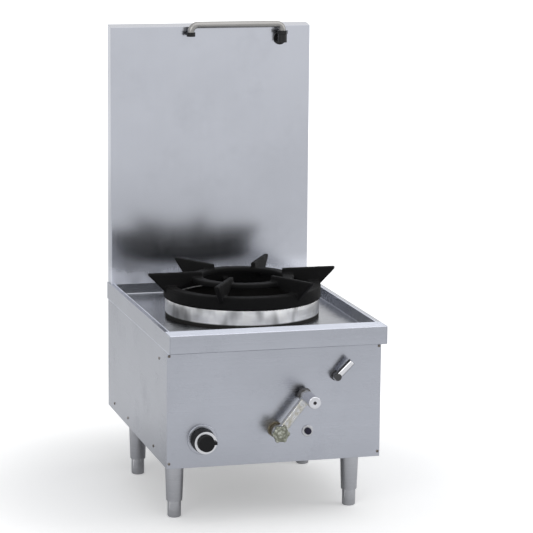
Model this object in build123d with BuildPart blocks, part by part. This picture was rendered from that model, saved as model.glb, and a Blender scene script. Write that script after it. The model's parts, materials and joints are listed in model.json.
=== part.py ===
from build123d import *
import os
from math import cos, radians, sin

os.makedirs("parts", exist_ok=True)

# A single-burner stockpot range, in millimetres. The origin is on the floor, under the middle of
# the whole footprint. The front faces -Y and +Z is up.

# Overall sizes.
range_width = 600
body_depth = 750
hob_height = 535
splash_height = 751
leg_height = 165
lever_reach = 120

# Stainless sheet and its bends.
sheet = 1.5
bend_radius = 3
seat_gap = 0.3
hole_clearance = 0.1
bore_relief = 1

# The front panel's outer face and the splashback's rear face, centred with the lever's reach.
front_y = lever_reach - (body_depth + lever_reach) / 2
back_y = front_y + body_depth

# Cabinet.
rail_overhang = 3
panel_half = range_width / 2 - rail_overhang
panel_inner = panel_half - sheet
panel_flange = 20

# Front ledge and side rails.
ledge_overhang = 42
ledge_width = 60
rail_width = 14
rail_face = 50
ledge_lip = 12
ledge_front_y = front_y - ledge_overhang
ledge_back_y = ledge_front_y + ledge_width
rail_bottom_z = hob_height - rail_face

# Splashback.
splash_depth = 42
splash_sheet = 1.2
splash_fall = 6.5
splash_lap = 32
splash_lip = 18
splash_front_y = back_y - splash_depth
splash_top_z = hob_height + splash_height
skin_bottom_z = hob_height - splash_lap

# Hob tray.
tray_depth = 32
tray_corner = 12
tray_bend = 5
tray_hole_radius = 150
tray_collar = 12
tray_half = range_width / 2 - rail_width + sheet
tray_floor_z = hob_height - tray_depth
tray_under_z = tray_floor_z - sheet
tray_front_y = ledge_back_y - sheet
tray_length = splash_front_y - tray_front_y
tray_mid_y = (tray_front_y + splash_front_y) / 2

# Burner centre, measured back from the front panel.
burner_setback = 346
burner_y = front_y + burner_setback

# Front fittings: the knob's distance in from the left side and the tap's from the right, the
# igniter's beside the lever, and heights above the cabinet's underside.
knob_inset = 97
knob_height = 76
lever_x = 0
lever_height = 94
igniter_spacing = 92
igniter_height = 83
tap_inset = 130
tap_height = 233
knob_x = knob_inset - panel_half
igniter_x = lever_x + igniter_spacing
tap_x = panel_half - tap_inset
knob_z = leg_height + knob_height
lever_z = leg_height + lever_height
igniter_z = leg_height + igniter_height
tap_z = leg_height + tap_height

# Screws of the panels.
screw_radius = 2
screw_head_radius = 4
screw_head_height = 2.2
screw_length = 7
screw_edge = 6
screw_bottom = 14
screw_top = 307
front_screw_x = panel_half - screw_edge
front_screw_zs = (leg_height + screw_bottom, leg_height + screw_top)
# Side screws: distance back from the front panel, and height above the cabinet's underside.
side_screws = ((160, 24), (481, 24), (662, 24), (91, 283))

# Side panels: a folded sheet with front, rear and bottom flanges.
panel_top_z = hob_height - sheet
side_front_y = front_y + sheet
side_depth = back_y - side_front_y
side_mid_y = (side_front_y + back_y) / 2
flange_x = panel_half - panel_flange / 2

with BuildPart() as side_panel_left:
    with BuildSketch(Plane.XY.offset(leg_height)):
        with Locations((-flange_x, side_mid_y)):
            Rectangle(panel_flange, side_depth)
        with Locations((-flange_x + sheet, side_mid_y)):
            Rectangle(panel_flange, side_depth - 2 * sheet, mode=Mode.SUBTRACT)
    extrude(amount=panel_top_z - leg_height)
    with BuildSketch(Plane.XY.offset(leg_height)):
        with Locations((-flange_x, side_mid_y)):
            Rectangle(panel_flange, side_depth)
    extrude(amount=sheet)
    with BuildSketch(Plane.YZ.offset(-panel_half)):
        for setback, height in side_screws:
            with Locations((front_y + setback, leg_height + height)):
                Circle(screw_radius + hole_clearance)
    extrude(amount=sheet, mode=Mode.SUBTRACT)
    with BuildSketch(Plane.XZ.offset(-side_front_y)):
        for screw_z in front_screw_zs:
            with Locations((-front_screw_x, screw_z)):
                Circle(screw_radius + hole_clearance)
    extrude(amount=-sheet, mode=Mode.SUBTRACT)
    with BuildSketch(Plane.XY.offset(skin_bottom_z - seat_gap)):
        with Locations((-flange_x, splash_front_y - seat_gap)):
            Rectangle(panel_flange, 2 * splash_depth, align=(Align.CENTER, Align.MIN))
    extrude(amount=splash_lap, mode=Mode.SUBTRACT)

with BuildPart() as side_panel_right:
    add(mirror(side_panel_left.part, about=Plane.YZ))

side_panel_left.part.label = "side_panel_left"
export_step(side_panel_left.part, "parts/side_panel_left.step")
side_panel_right.part.label = "side_panel_right"
export_step(side_panel_right.part, "parts/side_panel_right.step")

# Front panel: full width over the side flanges, up to the underside of the ledge.
bonnet_radius = 17
tap_neck_radius = 11
igniter_neck_radius = 11
spindle_radius = 4
spindle_neck_radius = 8
shaft_clearance = 0.05
panel_hole_gap = 0.5
panel_height = panel_top_z - leg_height

with BuildPart() as front_panel:
    with BuildSketch(Plane.XZ.offset(-front_y)):
        with Locations((0, leg_height + panel_height / 2)):
            Rectangle(2 * panel_half, panel_height)
        with Locations((knob_x, knob_z)):
            Circle(spindle_neck_radius + panel_hole_gap, mode=Mode.SUBTRACT)
        with Locations((lever_x, lever_z)):
            Circle(bonnet_radius + panel_hole_gap, mode=Mode.SUBTRACT)
        with Locations((igniter_x, igniter_z)):
            Circle(igniter_neck_radius + panel_hole_gap, mode=Mode.SUBTRACT)
        with Locations((tap_x, tap_z)):
            Circle(tap_neck_radius + panel_hole_gap, mode=Mode.SUBTRACT)
        for screw_z in front_screw_zs:
            with Locations((-front_screw_x, screw_z), (front_screw_x, screw_z)):
                Circle(screw_radius + hole_clearance, mode=Mode.SUBTRACT)
    extrude(amount=-sheet)
    with BuildSketch(Plane.XY.offset(leg_height)):
        with Locations((0, front_y + sheet + panel_flange / 2)):
            Rectangle(2 * (panel_half - panel_flange - seat_gap), panel_flange)
    extrude(amount=sheet)

front_panel.part.label = "front_panel"
export_step(front_panel.part, "parts/front_panel.step")

# Back panel: set in to the plane of the splashback's face, so that the pipe ends stay inside
# the footprint.
back_panel_top_z = tray_under_z - seat_gap
gas_pipe_radius = 13.45
water_pipe_radius = 10.65
riser_radius = 7.5
pipe_hole_gap = 0.5
water_inlet_height = 135
water_inlet_z = leg_height + water_inlet_height
riser_side_inset = 92
riser_x = panel_half - riser_side_inset
back_panel_height = back_panel_top_z - leg_height
back_plane = Plane.XZ.offset(-splash_front_y)

with BuildPart() as back_panel:
    with BuildSketch(back_plane):
        with Locations((0, leg_height + back_panel_height / 2)):
            Rectangle(2 * panel_inner, back_panel_height)
        with Locations((knob_x, knob_z)):
            Circle(gas_pipe_radius + pipe_hole_gap, mode=Mode.SUBTRACT)
        with Locations((tap_x, water_inlet_z)):
            Circle(water_pipe_radius + pipe_hole_gap, mode=Mode.SUBTRACT)
        with Locations((riser_x, tap_z)):
            Circle(riser_radius + pipe_hole_gap, mode=Mode.SUBTRACT)
        for corner_x in (-panel_half + panel_flange / 2, panel_half - panel_flange / 2):
            with Locations((corner_x, leg_height + sheet / 2)):
                Rectangle(panel_flange + 2 * seat_gap, sheet + 2 * seat_gap, mode=Mode.SUBTRACT)
    extrude(amount=-sheet)

back_panel.part.label = "back_panel"
export_step(back_panel.part, "parts/back_panel.step")

# Cross members: channels that open upward, on the side panels' bottom flanges.
member_width = 76
member_height = 25
member_sheet = 2.5
leg_inset = 48.5
leg_x = panel_half - leg_inset
front_leg_setback = 117
leg_wheelbase = 454
front_leg_y = front_y + front_leg_setback
rear_leg_y = front_leg_y + leg_wheelbase
member_z = leg_height + sheet
leg_plate_width = 56
leg_plate_depth = 72
leg_bolt_radius = 3
leg_bolt_pitch_x = 42
leg_bolt_pitch_y = 58

with BuildPart() as cross_member_front:
    with BuildSketch(Plane.XY.offset(member_z)):
        with Locations((0, front_leg_y)):
            Rectangle(2 * panel_inner, member_width)
    extrude(amount=member_height)
    with BuildSketch(Plane.XY.offset(member_z + member_sheet)):
        with Locations((0, front_leg_y)):
            Rectangle(2 * panel_inner, member_width - 2 * member_sheet)
    extrude(amount=member_height - member_sheet, mode=Mode.SUBTRACT)
    for side in (-1, 1):
        with BuildSketch(Plane.XY.offset(member_z)):
            with Locations((side * leg_x, front_leg_y)):
                with GridLocations(leg_bolt_pitch_x, leg_bolt_pitch_y, 2, 2):
                    Circle(leg_bolt_radius + hole_clearance)
        extrude(amount=member_sheet, mode=Mode.SUBTRACT)

with BuildPart() as cross_member_rear:
    add(Pos(0, leg_wheelbase, 0) * cross_member_front.part)

cross_member_front.part.label = "cross_member_front"
export_step(cross_member_front.part, "parts/cross_member_front.step")
cross_member_rear.part.label = "cross_member_rear"
export_step(cross_member_rear.part, "parts/cross_member_rear.step")

# Legs: a top plate under the cross member and a tapered tube with a threaded end for the foot.
leg_top_radius = 26
leg_end_radius = 22
leg_wall = 2
leg_plate = 4
leg_plate_corner = 6
foot_height = 46
foot_radius = 18.5
foot_chamfer = 2.5
foot_edge = 1
foot_sole = 3
stem_radius = 8
stem_length = 50
insert_length = 30
leg_plate_top_z = member_z
leg_tube_top_z = leg_plate_top_z - leg_plate
insert_top_z = foot_height + insert_length
taper_per_mm = (leg_top_radius - leg_end_radius) / (leg_tube_top_z - foot_height)
insert_top_radius = leg_end_radius + taper_per_mm * insert_length

with BuildPart() as leg_blank:
    with BuildSketch(Plane.XZ):
        with BuildLine():
            Polyline(
                (0, foot_height),
                (leg_end_radius, foot_height),
                (leg_top_radius, leg_tube_top_z),
                (0, leg_tube_top_z),
                close=True,
            )
        make_face()
    revolve(axis=Axis.Z)
    with BuildSketch(Plane.XZ):
        with BuildLine():
            Polyline(
                (0, insert_top_z),
                (insert_top_radius - leg_wall, insert_top_z),
                (leg_top_radius - leg_wall, leg_tube_top_z),
                (0, leg_tube_top_z),
                close=True,
            )
        make_face()
    revolve(axis=Axis.Z, mode=Mode.SUBTRACT)
    with BuildSketch(Plane.XY.offset(foot_height)):
        Circle(stem_radius + shaft_clearance)
    extrude(amount=insert_length, mode=Mode.SUBTRACT)
    with BuildSketch(Plane.XY.offset(leg_tube_top_z)):
        RectangleRounded(leg_plate_width, leg_plate_depth, leg_plate_corner)
        with GridLocations(leg_bolt_pitch_x, leg_bolt_pitch_y, 2, 2):
            Circle(leg_bolt_radius + hole_clearance, mode=Mode.SUBTRACT)
    extrude(amount=leg_plate)

# Feet: a round sole on a threaded stem that screws into the leg.
with BuildPart() as foot_blank:
    with BuildSketch(Plane.XY):
        Circle(foot_radius)
    extrude(amount=foot_height - seat_gap)
    chamfer(foot_blank.edges().sort_by(Axis.Z)[0], foot_chamfer)
    fillet(foot_blank.edges().sort_by(Axis.Z)[-1], foot_edge)
    with BuildSketch(Plane.XY.offset(foot_sole)):
        Circle(stem_radius)
    extrude(amount=foot_height - foot_sole + stem_length)

leg_places = {
    "front_left": (-leg_x, front_leg_y),
    "front_right": (leg_x, front_leg_y),
    "rear_left": (-leg_x, rear_leg_y),
    "rear_right": (leg_x, rear_leg_y),
}
for place, (x, y) in leg_places.items():
    with BuildPart() as leg:
        add(Pos(x, y, 0) * leg_blank.part)
    leg.part.label = f"leg_{place}"
    export_step(leg.part, f"parts/leg_{place}.step")
    with BuildPart() as foot:
        add(Pos(x, y, 0) * foot_blank.part)
    foot.part.label = f"foot_{place}"
    export_step(foot.part, f"parts/foot_{place}.step")

# Leg bolts: up through the leg plate and the cross member, each with its nut.
bolt_head_radius = 5
bolt_head_height = 4
bolt_nut_radius = 5.5
bolt_nut_height = 5
bolt_grip = leg_plate + member_sheet
bolt_end = 2

with BuildPart() as leg_bolts:
    for x, y in leg_places.values():
        with BuildSketch(Plane.XY.offset(leg_tube_top_z - bolt_head_height)):
            with Locations((x, y)):
                with GridLocations(leg_bolt_pitch_x, leg_bolt_pitch_y, 2, 2):
                    RegularPolygon(bolt_head_radius, 6)
        extrude(amount=bolt_head_height)
        with BuildSketch(Plane.XY.offset(leg_tube_top_z)):
            with Locations((x, y)):
                with GridLocations(leg_bolt_pitch_x, leg_bolt_pitch_y, 2, 2):
                    Circle(leg_bolt_radius)
        extrude(amount=bolt_grip + bolt_nut_height + bolt_end)
        with BuildSketch(Plane.XY.offset(leg_tube_top_z + bolt_grip)):
            with Locations((x, y)):
                with GridLocations(leg_bolt_pitch_x, leg_bolt_pitch_y, 2, 2):
                    RegularPolygon(bolt_nut_radius, 6)
        extrude(amount=bolt_nut_height)

leg_bolts.part.label = "leg_bolts"
export_step(leg_bolts.part, "parts/leg_bolts.step")

# Hob tray: a sunk pan with an upstand round the burner hole.
with BuildPart() as hob_tray:
    with BuildSketch(Plane.XY.offset(tray_under_z)):
        with Locations((0, tray_mid_y)):
            RectangleRounded(2 * tray_half, tray_length, tray_corner)
    extrude(amount=panel_top_z - tray_under_z)
    fillet(hob_tray.faces().sort_by(Axis.Z)[0].edges(), tray_bend)
    offset(amount=-sheet, openings=hob_tray.faces().sort_by(Axis.Z)[-1])
    with BuildSketch(Plane.XY.offset(tray_floor_z)):
        with Locations((0, burner_y)):
            Circle(tray_hole_radius + sheet)
    extrude(amount=tray_collar)
    with BuildSketch(Plane.XY.offset(tray_under_z)):
        with Locations((0, burner_y)):
            Circle(tray_hole_radius)
    extrude(amount=tray_collar + 2 * sheet, mode=Mode.SUBTRACT)

hob_tray.part.label = "hob_tray"
export_step(hob_tray.part, "parts/hob_tray.step")

# Front ledge: a top strip folded down in front, with a lip turned back underneath.
with BuildPart() as front_ledge:
    with BuildSketch(Plane.YZ.offset(-range_width / 2 + sheet)) as ledge_profile:
        with Locations((ledge_front_y, hob_height - rail_face / 2)):
            Rectangle(sheet, rail_face, align=(Align.MIN, Align.CENTER))
        with Locations((ledge_front_y, hob_height)):
            Rectangle(ledge_width, sheet, align=(Align.MIN, Align.MAX))
        with Locations((ledge_front_y, rail_bottom_z)):
            Rectangle(ledge_lip, sheet, align=(Align.MIN, Align.MIN))
        fillet(ledge_profile.vertices().group_by(Axis.X)[0], bend_radius)
    extrude(amount=range_width - 2 * sheet)

front_ledge.part.label = "front_ledge"
export_step(front_ledge.part, "parts/front_ledge.step")

# Side rails: a plate down the outside, that also closes the ledge's end, and a narrow top strip.
with BuildPart() as side_rail_left:
    with BuildSketch(Plane.YZ.offset(-range_width / 2)) as rail_profile:
        with Locations(((ledge_front_y + back_y) / 2, hob_height - rail_face / 2)):
            Rectangle(back_y - ledge_front_y, rail_face)
        fillet(rail_profile.vertices().group_by(Axis.X)[0], bend_radius)
    extrude(amount=sheet)
    with BuildSketch(Plane.XY.offset(hob_height - sheet)):
        with Locations((-range_width / 2, ledge_back_y)):
            Rectangle(rail_width, splash_front_y - ledge_back_y, align=(Align.MIN, Align.MIN))
    extrude(amount=sheet)

with BuildPart() as side_rail_right:
    add(mirror(side_rail_left.part, about=Plane.YZ))

side_rail_left.part.label = "side_rail_left"
export_step(side_rail_left.part, "parts/side_rail_left.step")
side_rail_right.part.label = "side_rail_right"
export_step(side_rail_right.part, "parts/side_rail_right.step")

# Splashback skin: face, sides and a top that falls to the front, with lips at the back for the
# rear cover. Its lower edge laps behind the tray's rear wall.
filler_height = 708
filler_z = hob_height + filler_height
filler_tube_radius = 9
cover_screw_x = panel_half - splash_sheet - splash_lip / 2
cover_screw_low = 25
cover_screw_inset = 60
cover_screw_zs = (
    hob_height + cover_screw_low,
    hob_height + splash_height / 2,
    splash_top_z - cover_screw_inset,
)
lip_top_z = splash_top_z - splash_fall
rear_lip_y = back_y - splash_sheet

with BuildPart() as splashback_skin:
    with BuildSketch(Plane.YZ.offset(-panel_half)):
        with BuildLine():
            Polyline(
                (splash_front_y, skin_bottom_z),
                (splash_front_y, splash_top_z - splash_fall),
                (back_y, splash_top_z),
                (back_y, skin_bottom_z),
                close=True,
            )
        make_face()
    extrude(amount=2 * panel_half)
    fillet(splashback_skin.edges().filter_by(Axis.Z).group_by(Axis.Y)[0], bend_radius)
    rear_face = splashback_skin.faces().sort_by(Axis.Y)[-1]
    bottom_face = splashback_skin.faces().sort_by(Axis.Z)[0]
    offset(amount=-splash_sheet, openings=[rear_face, bottom_face])
    with BuildSketch(Plane.XZ.offset(-rear_lip_y)):
        with Locations((-panel_half, skin_bottom_z)):
            Rectangle(splash_lip, lip_top_z - skin_bottom_z, align=(Align.MIN, Align.MIN))
        with Locations((panel_half, skin_bottom_z)):
            Rectangle(splash_lip, lip_top_z - skin_bottom_z, align=(Align.MAX, Align.MIN))
        for screw_z in cover_screw_zs:
            with Locations((-cover_screw_x, screw_z), (cover_screw_x, screw_z)):
                Circle(screw_radius + hole_clearance, mode=Mode.SUBTRACT)
    extrude(amount=splash_sheet)
    with BuildSketch(Plane.XZ.offset(-splash_front_y)):
        with Locations((riser_x, filler_z)):
            Circle(filler_tube_radius + pipe_hole_gap)
    extrude(amount=-splash_sheet, mode=Mode.SUBTRACT)

splashback_skin.part.label = "splashback_skin"
export_step(splashback_skin.part, "parts/splashback_skin.step")

# Rear cover of the splashback, screwed to the skin's lips.
cover_half = panel_half - splash_sheet - seat_gap
cover_top_gap = 1
cover_top_z = splash_top_z - splash_sheet - cover_top_gap

with BuildPart() as splashback_rear_cover:
    with BuildSketch(Plane.XZ.offset(-rear_lip_y)):
        with Locations((0, skin_bottom_z)):
            Rectangle(2 * cover_half, cover_top_z - skin_bottom_z, align=(Align.CENTER, Align.MIN))
        for screw_z in cover_screw_zs:
            with Locations((-cover_screw_x, screw_z), (cover_screw_x, screw_z)):
                Circle(screw_radius + hole_clearance, mode=Mode.SUBTRACT)
    extrude(amount=-splash_sheet)

splashback_rear_cover.part.label = "splashback_rear_cover"
export_step(splashback_rear_cover.part, "parts/splashback_rear_cover.step")

# Splashback posts: two channels from behind the back panel up inside the splashback.
post_side_inset = 57
post_x = panel_half - post_side_inset
post_width = 40
post_sheet = 2
post_low = 135
post_inset = 55
post_bottom_z = leg_height + post_low
post_top_z = splash_top_z - post_inset
post_front_y = splash_front_y + sheet
post_depth = rear_lip_y - post_front_y

with BuildPart() as splashback_posts:
    with BuildSketch(Plane.XY.offset(post_bottom_z)):
        with Locations((-post_x, post_front_y), (post_x, post_front_y)):
            Rectangle(post_width, post_depth, align=(Align.CENTER, Align.MIN))
        with Locations((-post_x, post_front_y + post_sheet), (post_x, post_front_y + post_sheet)):
            Rectangle(
                post_width - 2 * post_sheet,
                post_depth,
                align=(Align.CENTER, Align.MIN),
                mode=Mode.SUBTRACT,
            )
    extrude(amount=post_top_z - post_bottom_z)

splashback_posts.part.label = "splashback_posts"
export_step(splashback_posts.part, "parts/splashback_posts.step")

# Panel screws: pan heads on the front panel, the sides and the rear cover. The side screws have
# their nuts inside.
side_nut_radius = 3.5
side_nut_height = 3
radius_match = 0.01

with BuildPart() as panel_screws:
    for screw_z in front_screw_zs:
        with BuildSketch(Plane.XZ.offset(-front_y)):
            with Locations((-front_screw_x, screw_z), (front_screw_x, screw_z)):
                Circle(screw_head_radius)
        extrude(amount=screw_head_height)
        with BuildSketch(Plane.XZ.offset(-front_y)):
            with Locations((-front_screw_x, screw_z), (front_screw_x, screw_z)):
                Circle(screw_radius)
        extrude(amount=-screw_length)
    for screw_z in cover_screw_zs:
        with BuildSketch(Plane.XZ.offset(-back_y)):
            with Locations((-cover_screw_x, screw_z), (cover_screw_x, screw_z)):
                Circle(screw_head_radius)
        extrude(amount=-screw_head_height)
        with BuildSketch(Plane.XZ.offset(-back_y)):
            with Locations((-cover_screw_x, screw_z), (cover_screw_x, screw_z)):
                Circle(screw_radius)
        extrude(amount=screw_length)
    for setback, height in side_screws:
        for side in (-1, 1):
            with BuildSketch(Plane.YZ.offset(side * panel_half)):
                with Locations((front_y + setback, leg_height + height)):
                    Circle(screw_head_radius)
            extrude(amount=side * screw_head_height)
            with BuildSketch(Plane.YZ.offset(side * panel_half)):
                with Locations((front_y + setback, leg_height + height)):
                    Circle(screw_radius)
            extrude(amount=-side * screw_length)
            with BuildSketch(Plane.YZ.offset(side * panel_inner)):
                with Locations((front_y + setback, leg_height + height)):
                    Circle(side_nut_radius)
            extrude(amount=-side * side_nut_height)
    head_edges = panel_screws.edges().filter_by(GeomType.CIRCLE)
    rims = [edge for edge in head_edges if abs(edge.radius - screw_head_radius) < radius_match]
    front_rims = [edge for edge in rims if edge.center().Y < front_y - screw_head_height / 2]
    fillet(front_rims, screw_head_height / 2)

panel_screws.part.label = "panel_screws"
export_step(panel_screws.part, "parts/panel_screws.step")

# Burner ring: a polished drum that stands on the tray floor round the upstand, with an inward
# flange on top for the trivet and three tabs that centre it on the upstand.
ring_radius = 215
ring_sheet = 2
ring_height = 53
ring_flange = 30
ring_bottom_z = tray_floor_z + seat_gap
ring_top_z = ring_bottom_z + ring_height
tab_gap = 1
tab_width = 24
tab_inner = tray_hole_radius + sheet + tab_gap
tab_length = ring_radius - ring_sheet / 2 - tab_inner
burner_axis = Axis((0, burner_y, 0), (0, 0, 1))
burner_plane = Plane.XZ.offset(-burner_y)

with BuildPart() as burner_ring:
    with BuildSketch(burner_plane) as ring_profile:
        with Locations((ring_radius, ring_bottom_z)):
            Rectangle(ring_sheet, ring_height, align=(Align.MAX, Align.MIN))
        with Locations((ring_radius, ring_top_z)):
            Rectangle(ring_flange, ring_sheet, align=(Align.MAX, Align.MAX))
        fillet(ring_profile.vertices().group_by(Axis.Y)[-1].sort_by(Axis.X)[-1], bend_radius)
    revolve(axis=burner_axis)
    with BuildSketch(Plane.XY.offset(ring_bottom_z)):
        with Locations((0, burner_y)):
            with PolarLocations(tab_inner, 3, start_angle=90):
                Rectangle(tab_length, tab_width, align=(Align.MIN, Align.CENTER))
    extrude(amount=ring_sheet)

burner_ring.part.label = "burner_ring"
export_step(burner_ring.part, "parts/burner_ring.step")

# Trivet: a casting with a base ring, a smaller upper ring and six fins that reach out past both.
# Three lugs below hold it central inside the ring's flange.
base_ring_outer = 220
base_ring_inner = 190
base_ring_height = 36
upper_ring_outer = 145
upper_ring_inner = 114
upper_ring_height = 14
fin_count = 6
fin_thickness = 13
fin_reach = 269
fin_tip_height = 6
fin_top_gap = 15
fin_height = 74
fin_foot_height = 21
cast_edge = 2
lug_gap = 1.5
lug_thickness = 8
lug_drop = 10
lug_width = 14
trivet_bottom_z = ring_top_z + seat_gap
trivet_top_z = trivet_bottom_z + fin_height
upper_ring_top_z = trivet_top_z - fin_top_gap
upper_ring_bottom_z = upper_ring_top_z - upper_ring_height
lug_outer = ring_radius - ring_flange - lug_gap
lug_root_z = trivet_bottom_z + base_ring_height / 2

with BuildPart() as trivet:
    with BuildSketch(Plane.XY.offset(trivet_bottom_z)):
        with Locations((0, burner_y)):
            Circle(base_ring_outer)
            Circle(base_ring_inner, mode=Mode.SUBTRACT)
    extrude(amount=base_ring_height)
    with BuildSketch(Plane.XY.offset(upper_ring_bottom_z)):
        with Locations((0, burner_y)):
            Circle(upper_ring_outer)
            Circle(upper_ring_inner, mode=Mode.SUBTRACT)
    extrude(amount=upper_ring_height)
    fillet(trivet.edges().filter_by(GeomType.CIRCLE), cast_edge)
    with BuildSketch(Plane.XY.offset(trivet_bottom_z - lug_drop)):
        with Locations((0, burner_y)):
            with PolarLocations(lug_outer, 3, start_angle=90):
                Rectangle(lug_thickness, lug_width, align=(Align.MAX, Align.CENTER))
    extrude(amount=lug_root_z - trivet_bottom_z + lug_drop)
    with BuildSketch(Plane.XY.offset(lug_root_z - lug_thickness)):
        with Locations((0, burner_y)):
            with PolarLocations(lug_outer - lug_thickness, 3, start_angle=90):
                Rectangle(
                    base_ring_inner - lug_outer + 2 * lug_thickness,
                    lug_width,
                    align=(Align.MIN, Align.CENTER),
                )
    extrude(amount=lug_thickness)

with BuildPart() as fin:
    with BuildSketch(Plane.XZ):
        with BuildLine():
            Polyline(
                (upper_ring_inner + cast_edge, upper_ring_bottom_z),
                (upper_ring_inner + cast_edge, trivet_top_z),
                (fin_reach, trivet_top_z),
                (fin_reach, trivet_top_z - fin_tip_height),
                (base_ring_outer + cast_edge, trivet_bottom_z + fin_foot_height),
                (base_ring_inner + cast_edge, trivet_bottom_z + fin_foot_height),
                (upper_ring_outer + cast_edge, upper_ring_bottom_z),
                close=True,
            )
        make_face()
    extrude(amount=fin_thickness / 2, both=True)
    fillet(fin.edges().filter_by(Axis.Y).sort_by(Axis.Z)[-1], cast_edge)
    fillet(fin.faces().sort_by(Axis.Z)[-1].edges().filter_by(Axis.X), cast_edge)

fins = [Pos(0, burner_y, 0) * Rot(0, 0, turn * 360 / fin_count) * fin.part for turn in range(fin_count)]

with BuildPart() as trivet_casting:
    add(trivet.part)
    add(fins)

trivet_casting.part.label = "trivet"
export_step(trivet_casting.part, "parts/trivet.step")

# Burner: a cast bowl with a neck, and a capped top with rings of flame ports.
neck_radius = 26
neck_bore = 19.5
neck_depth = 95
neck_bottom_z = hob_height - neck_depth
bowl_radius = 92
bowl_depth = 65
bowl_rim_depth = 20
bowl_floor_z = hob_height - bowl_depth
bowl_top_z = hob_height - bowl_rim_depth
bowl_wall = 6
bowl_shoulder = 20
bowl_foot_radius = 60
bowl_floor = 7
cap_height = 10
cap_dome = 4
port_radius = 2.5
port_ring_radii = (78, 62, 44, 24)
port_counts = (30, 24, 16, 8)

with BuildPart() as burner_body:
    with BuildSketch(burner_plane):
        with BuildLine():
            Polyline(
                (neck_bore, neck_bottom_z),
                (neck_radius, neck_bottom_z),
                (neck_radius, bowl_floor_z),
                (bowl_foot_radius, bowl_floor_z),
                (bowl_radius, bowl_floor_z + bowl_shoulder),
                (bowl_radius, bowl_top_z),
                (bowl_radius - bowl_wall, bowl_top_z),
                (bowl_radius - bowl_wall, bowl_floor_z + bowl_shoulder + bowl_floor),
                (bowl_foot_radius - bowl_wall, bowl_floor_z + bowl_floor),
                (neck_bore, bowl_floor_z + bowl_floor),
                close=True,
            )
        make_face()
    revolve(axis=burner_axis)

burner_body.part.label = "burner_body"
export_step(burner_body.part, "parts/burner_body.step")

with BuildPart() as burner_cap:
    with BuildSketch(Plane.XY.offset(bowl_top_z)):
        with Locations((0, burner_y)):
            Circle(bowl_radius)
    extrude(amount=cap_height)
    chamfer(burner_cap.edges().sort_by(Axis.Z)[-1], cap_dome)
    with BuildSketch(Plane.XY.offset(bowl_top_z)):
        with Locations((0, burner_y)):
            for ring, count in zip(port_ring_radii, port_counts):
                with PolarLocations(ring, count):
                    Circle(port_radius)
    extrude(amount=cap_height, mode=Mode.SUBTRACT)

burner_cap.part.label = "burner_cap"
export_step(burner_cap.part, "parts/burner_cap.step")

# Burner bracket: a strap hung under the tray, with the bowl sitting on it.
bracket_overhang = 19
bracket_half = tray_hole_radius + bracket_overhang
bracket_width = 40
bracket_sheet = 4
bracket_tab = 20
bracket_eye_radius = 45
bracket_top_z = bowl_floor_z
bracket_bottom_z = bracket_top_z - bracket_sheet

with BuildPart() as burner_bracket:
    with BuildSketch(burner_plane):
        with Locations((0, bracket_bottom_z)):
            Rectangle(2 * bracket_half, bracket_sheet, align=(Align.CENTER, Align.MIN))
        with Locations((-bracket_half, bracket_bottom_z)):
            Rectangle(bracket_sheet, tray_under_z - bracket_bottom_z, align=(Align.MIN, Align.MIN))
        with Locations((bracket_half, bracket_bottom_z)):
            Rectangle(bracket_sheet, tray_under_z - bracket_bottom_z, align=(Align.MAX, Align.MIN))
        with Locations((-bracket_half, tray_under_z)):
            Rectangle(bracket_tab, bracket_sheet, align=(Align.MAX, Align.MAX))
        with Locations((bracket_half, tray_under_z)):
            Rectangle(bracket_tab, bracket_sheet, align=(Align.MIN, Align.MAX))
    extrude(amount=bracket_width / 2, both=True)
    with BuildSketch(Plane.XY.offset(bracket_bottom_z)):
        with Locations((0, burner_y)):
            Circle(bracket_eye_radius)
    extrude(amount=bracket_sheet)
    with BuildSketch(Plane.XY.offset(bracket_bottom_z)):
        with Locations((0, burner_y)):
            Circle(neck_radius + seat_gap)
    extrude(amount=bracket_sheet, mode=Mode.SUBTRACT)

burner_bracket.part.label = "burner_bracket"
export_step(burner_bracket.part, "parts/burner_bracket.step")

# Front fittings are drawn on planes on the front panel's face that look out of the cabinet, so a
# negative depth is behind the panel.
knob_plane = Plane(origin=(knob_x, front_y, knob_z), x_dir=(1, 0, 0), z_dir=(0, -1, 0))
lever_plane = Plane(origin=(lever_x, front_y, lever_z), x_dir=(1, 0, 0), z_dir=(0, -1, 0))
igniter_plane = Plane(origin=(igniter_x, front_y, igniter_z), x_dir=(1, 0, 0), z_dir=(0, -1, 0))
tap_plane = Plane(origin=(tap_x, front_y, tap_z), x_dir=(1, 0, 0), z_dir=(0, -1, 0))

# Mixing tube: an air bell behind the injector, then a bent tube up to the burner's neck.
cock_rear = 90
injector_hex = 12
injector_hex_radius = 12
injector_nozzle = 18
injector_nozzle_radius = 6
injector_bore = 1.2
bell_stand_off = 22
bell_length = 45
bell_radius = 34
tube_radius = 22
tube_wall = 2.5
tube_bend = 70
bell_y = front_y + cock_rear + bell_stand_off
bell_end_y = bell_y + bell_length

with BuildPart() as mixing_tube:
    with BuildLine() as tube_path:
        FilletPolyline(
            (lever_x, bell_end_y, lever_z),
            (lever_x, burner_y, lever_z),
            (lever_x, burner_y, neck_bottom_z),
            radius=tube_bend,
        )
    with BuildSketch(Plane(origin=(lever_x, bell_end_y, lever_z), z_dir=(0, 1, 0))):
        Circle(tube_radius)
        Circle(tube_radius - tube_wall, mode=Mode.SUBTRACT)
    sweep(path=tube_path.wires()[0])
    with BuildSketch(Plane.YZ.offset(lever_x)):
        with BuildLine():
            Polyline(
                (bell_y, lever_z + bell_radius - tube_wall),
                (bell_y, lever_z + bell_radius),
                (bell_end_y, lever_z + tube_radius),
                (bell_end_y, lever_z + tube_radius - tube_wall),
                close=True,
            )
        make_face()
    revolve(axis=Axis((lever_x, 0, lever_z), (0, 1, 0)))

mixing_tube.part.label = "mixing_tube"
export_step(mixing_tube.part, "parts/mixing_tube.step")

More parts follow.
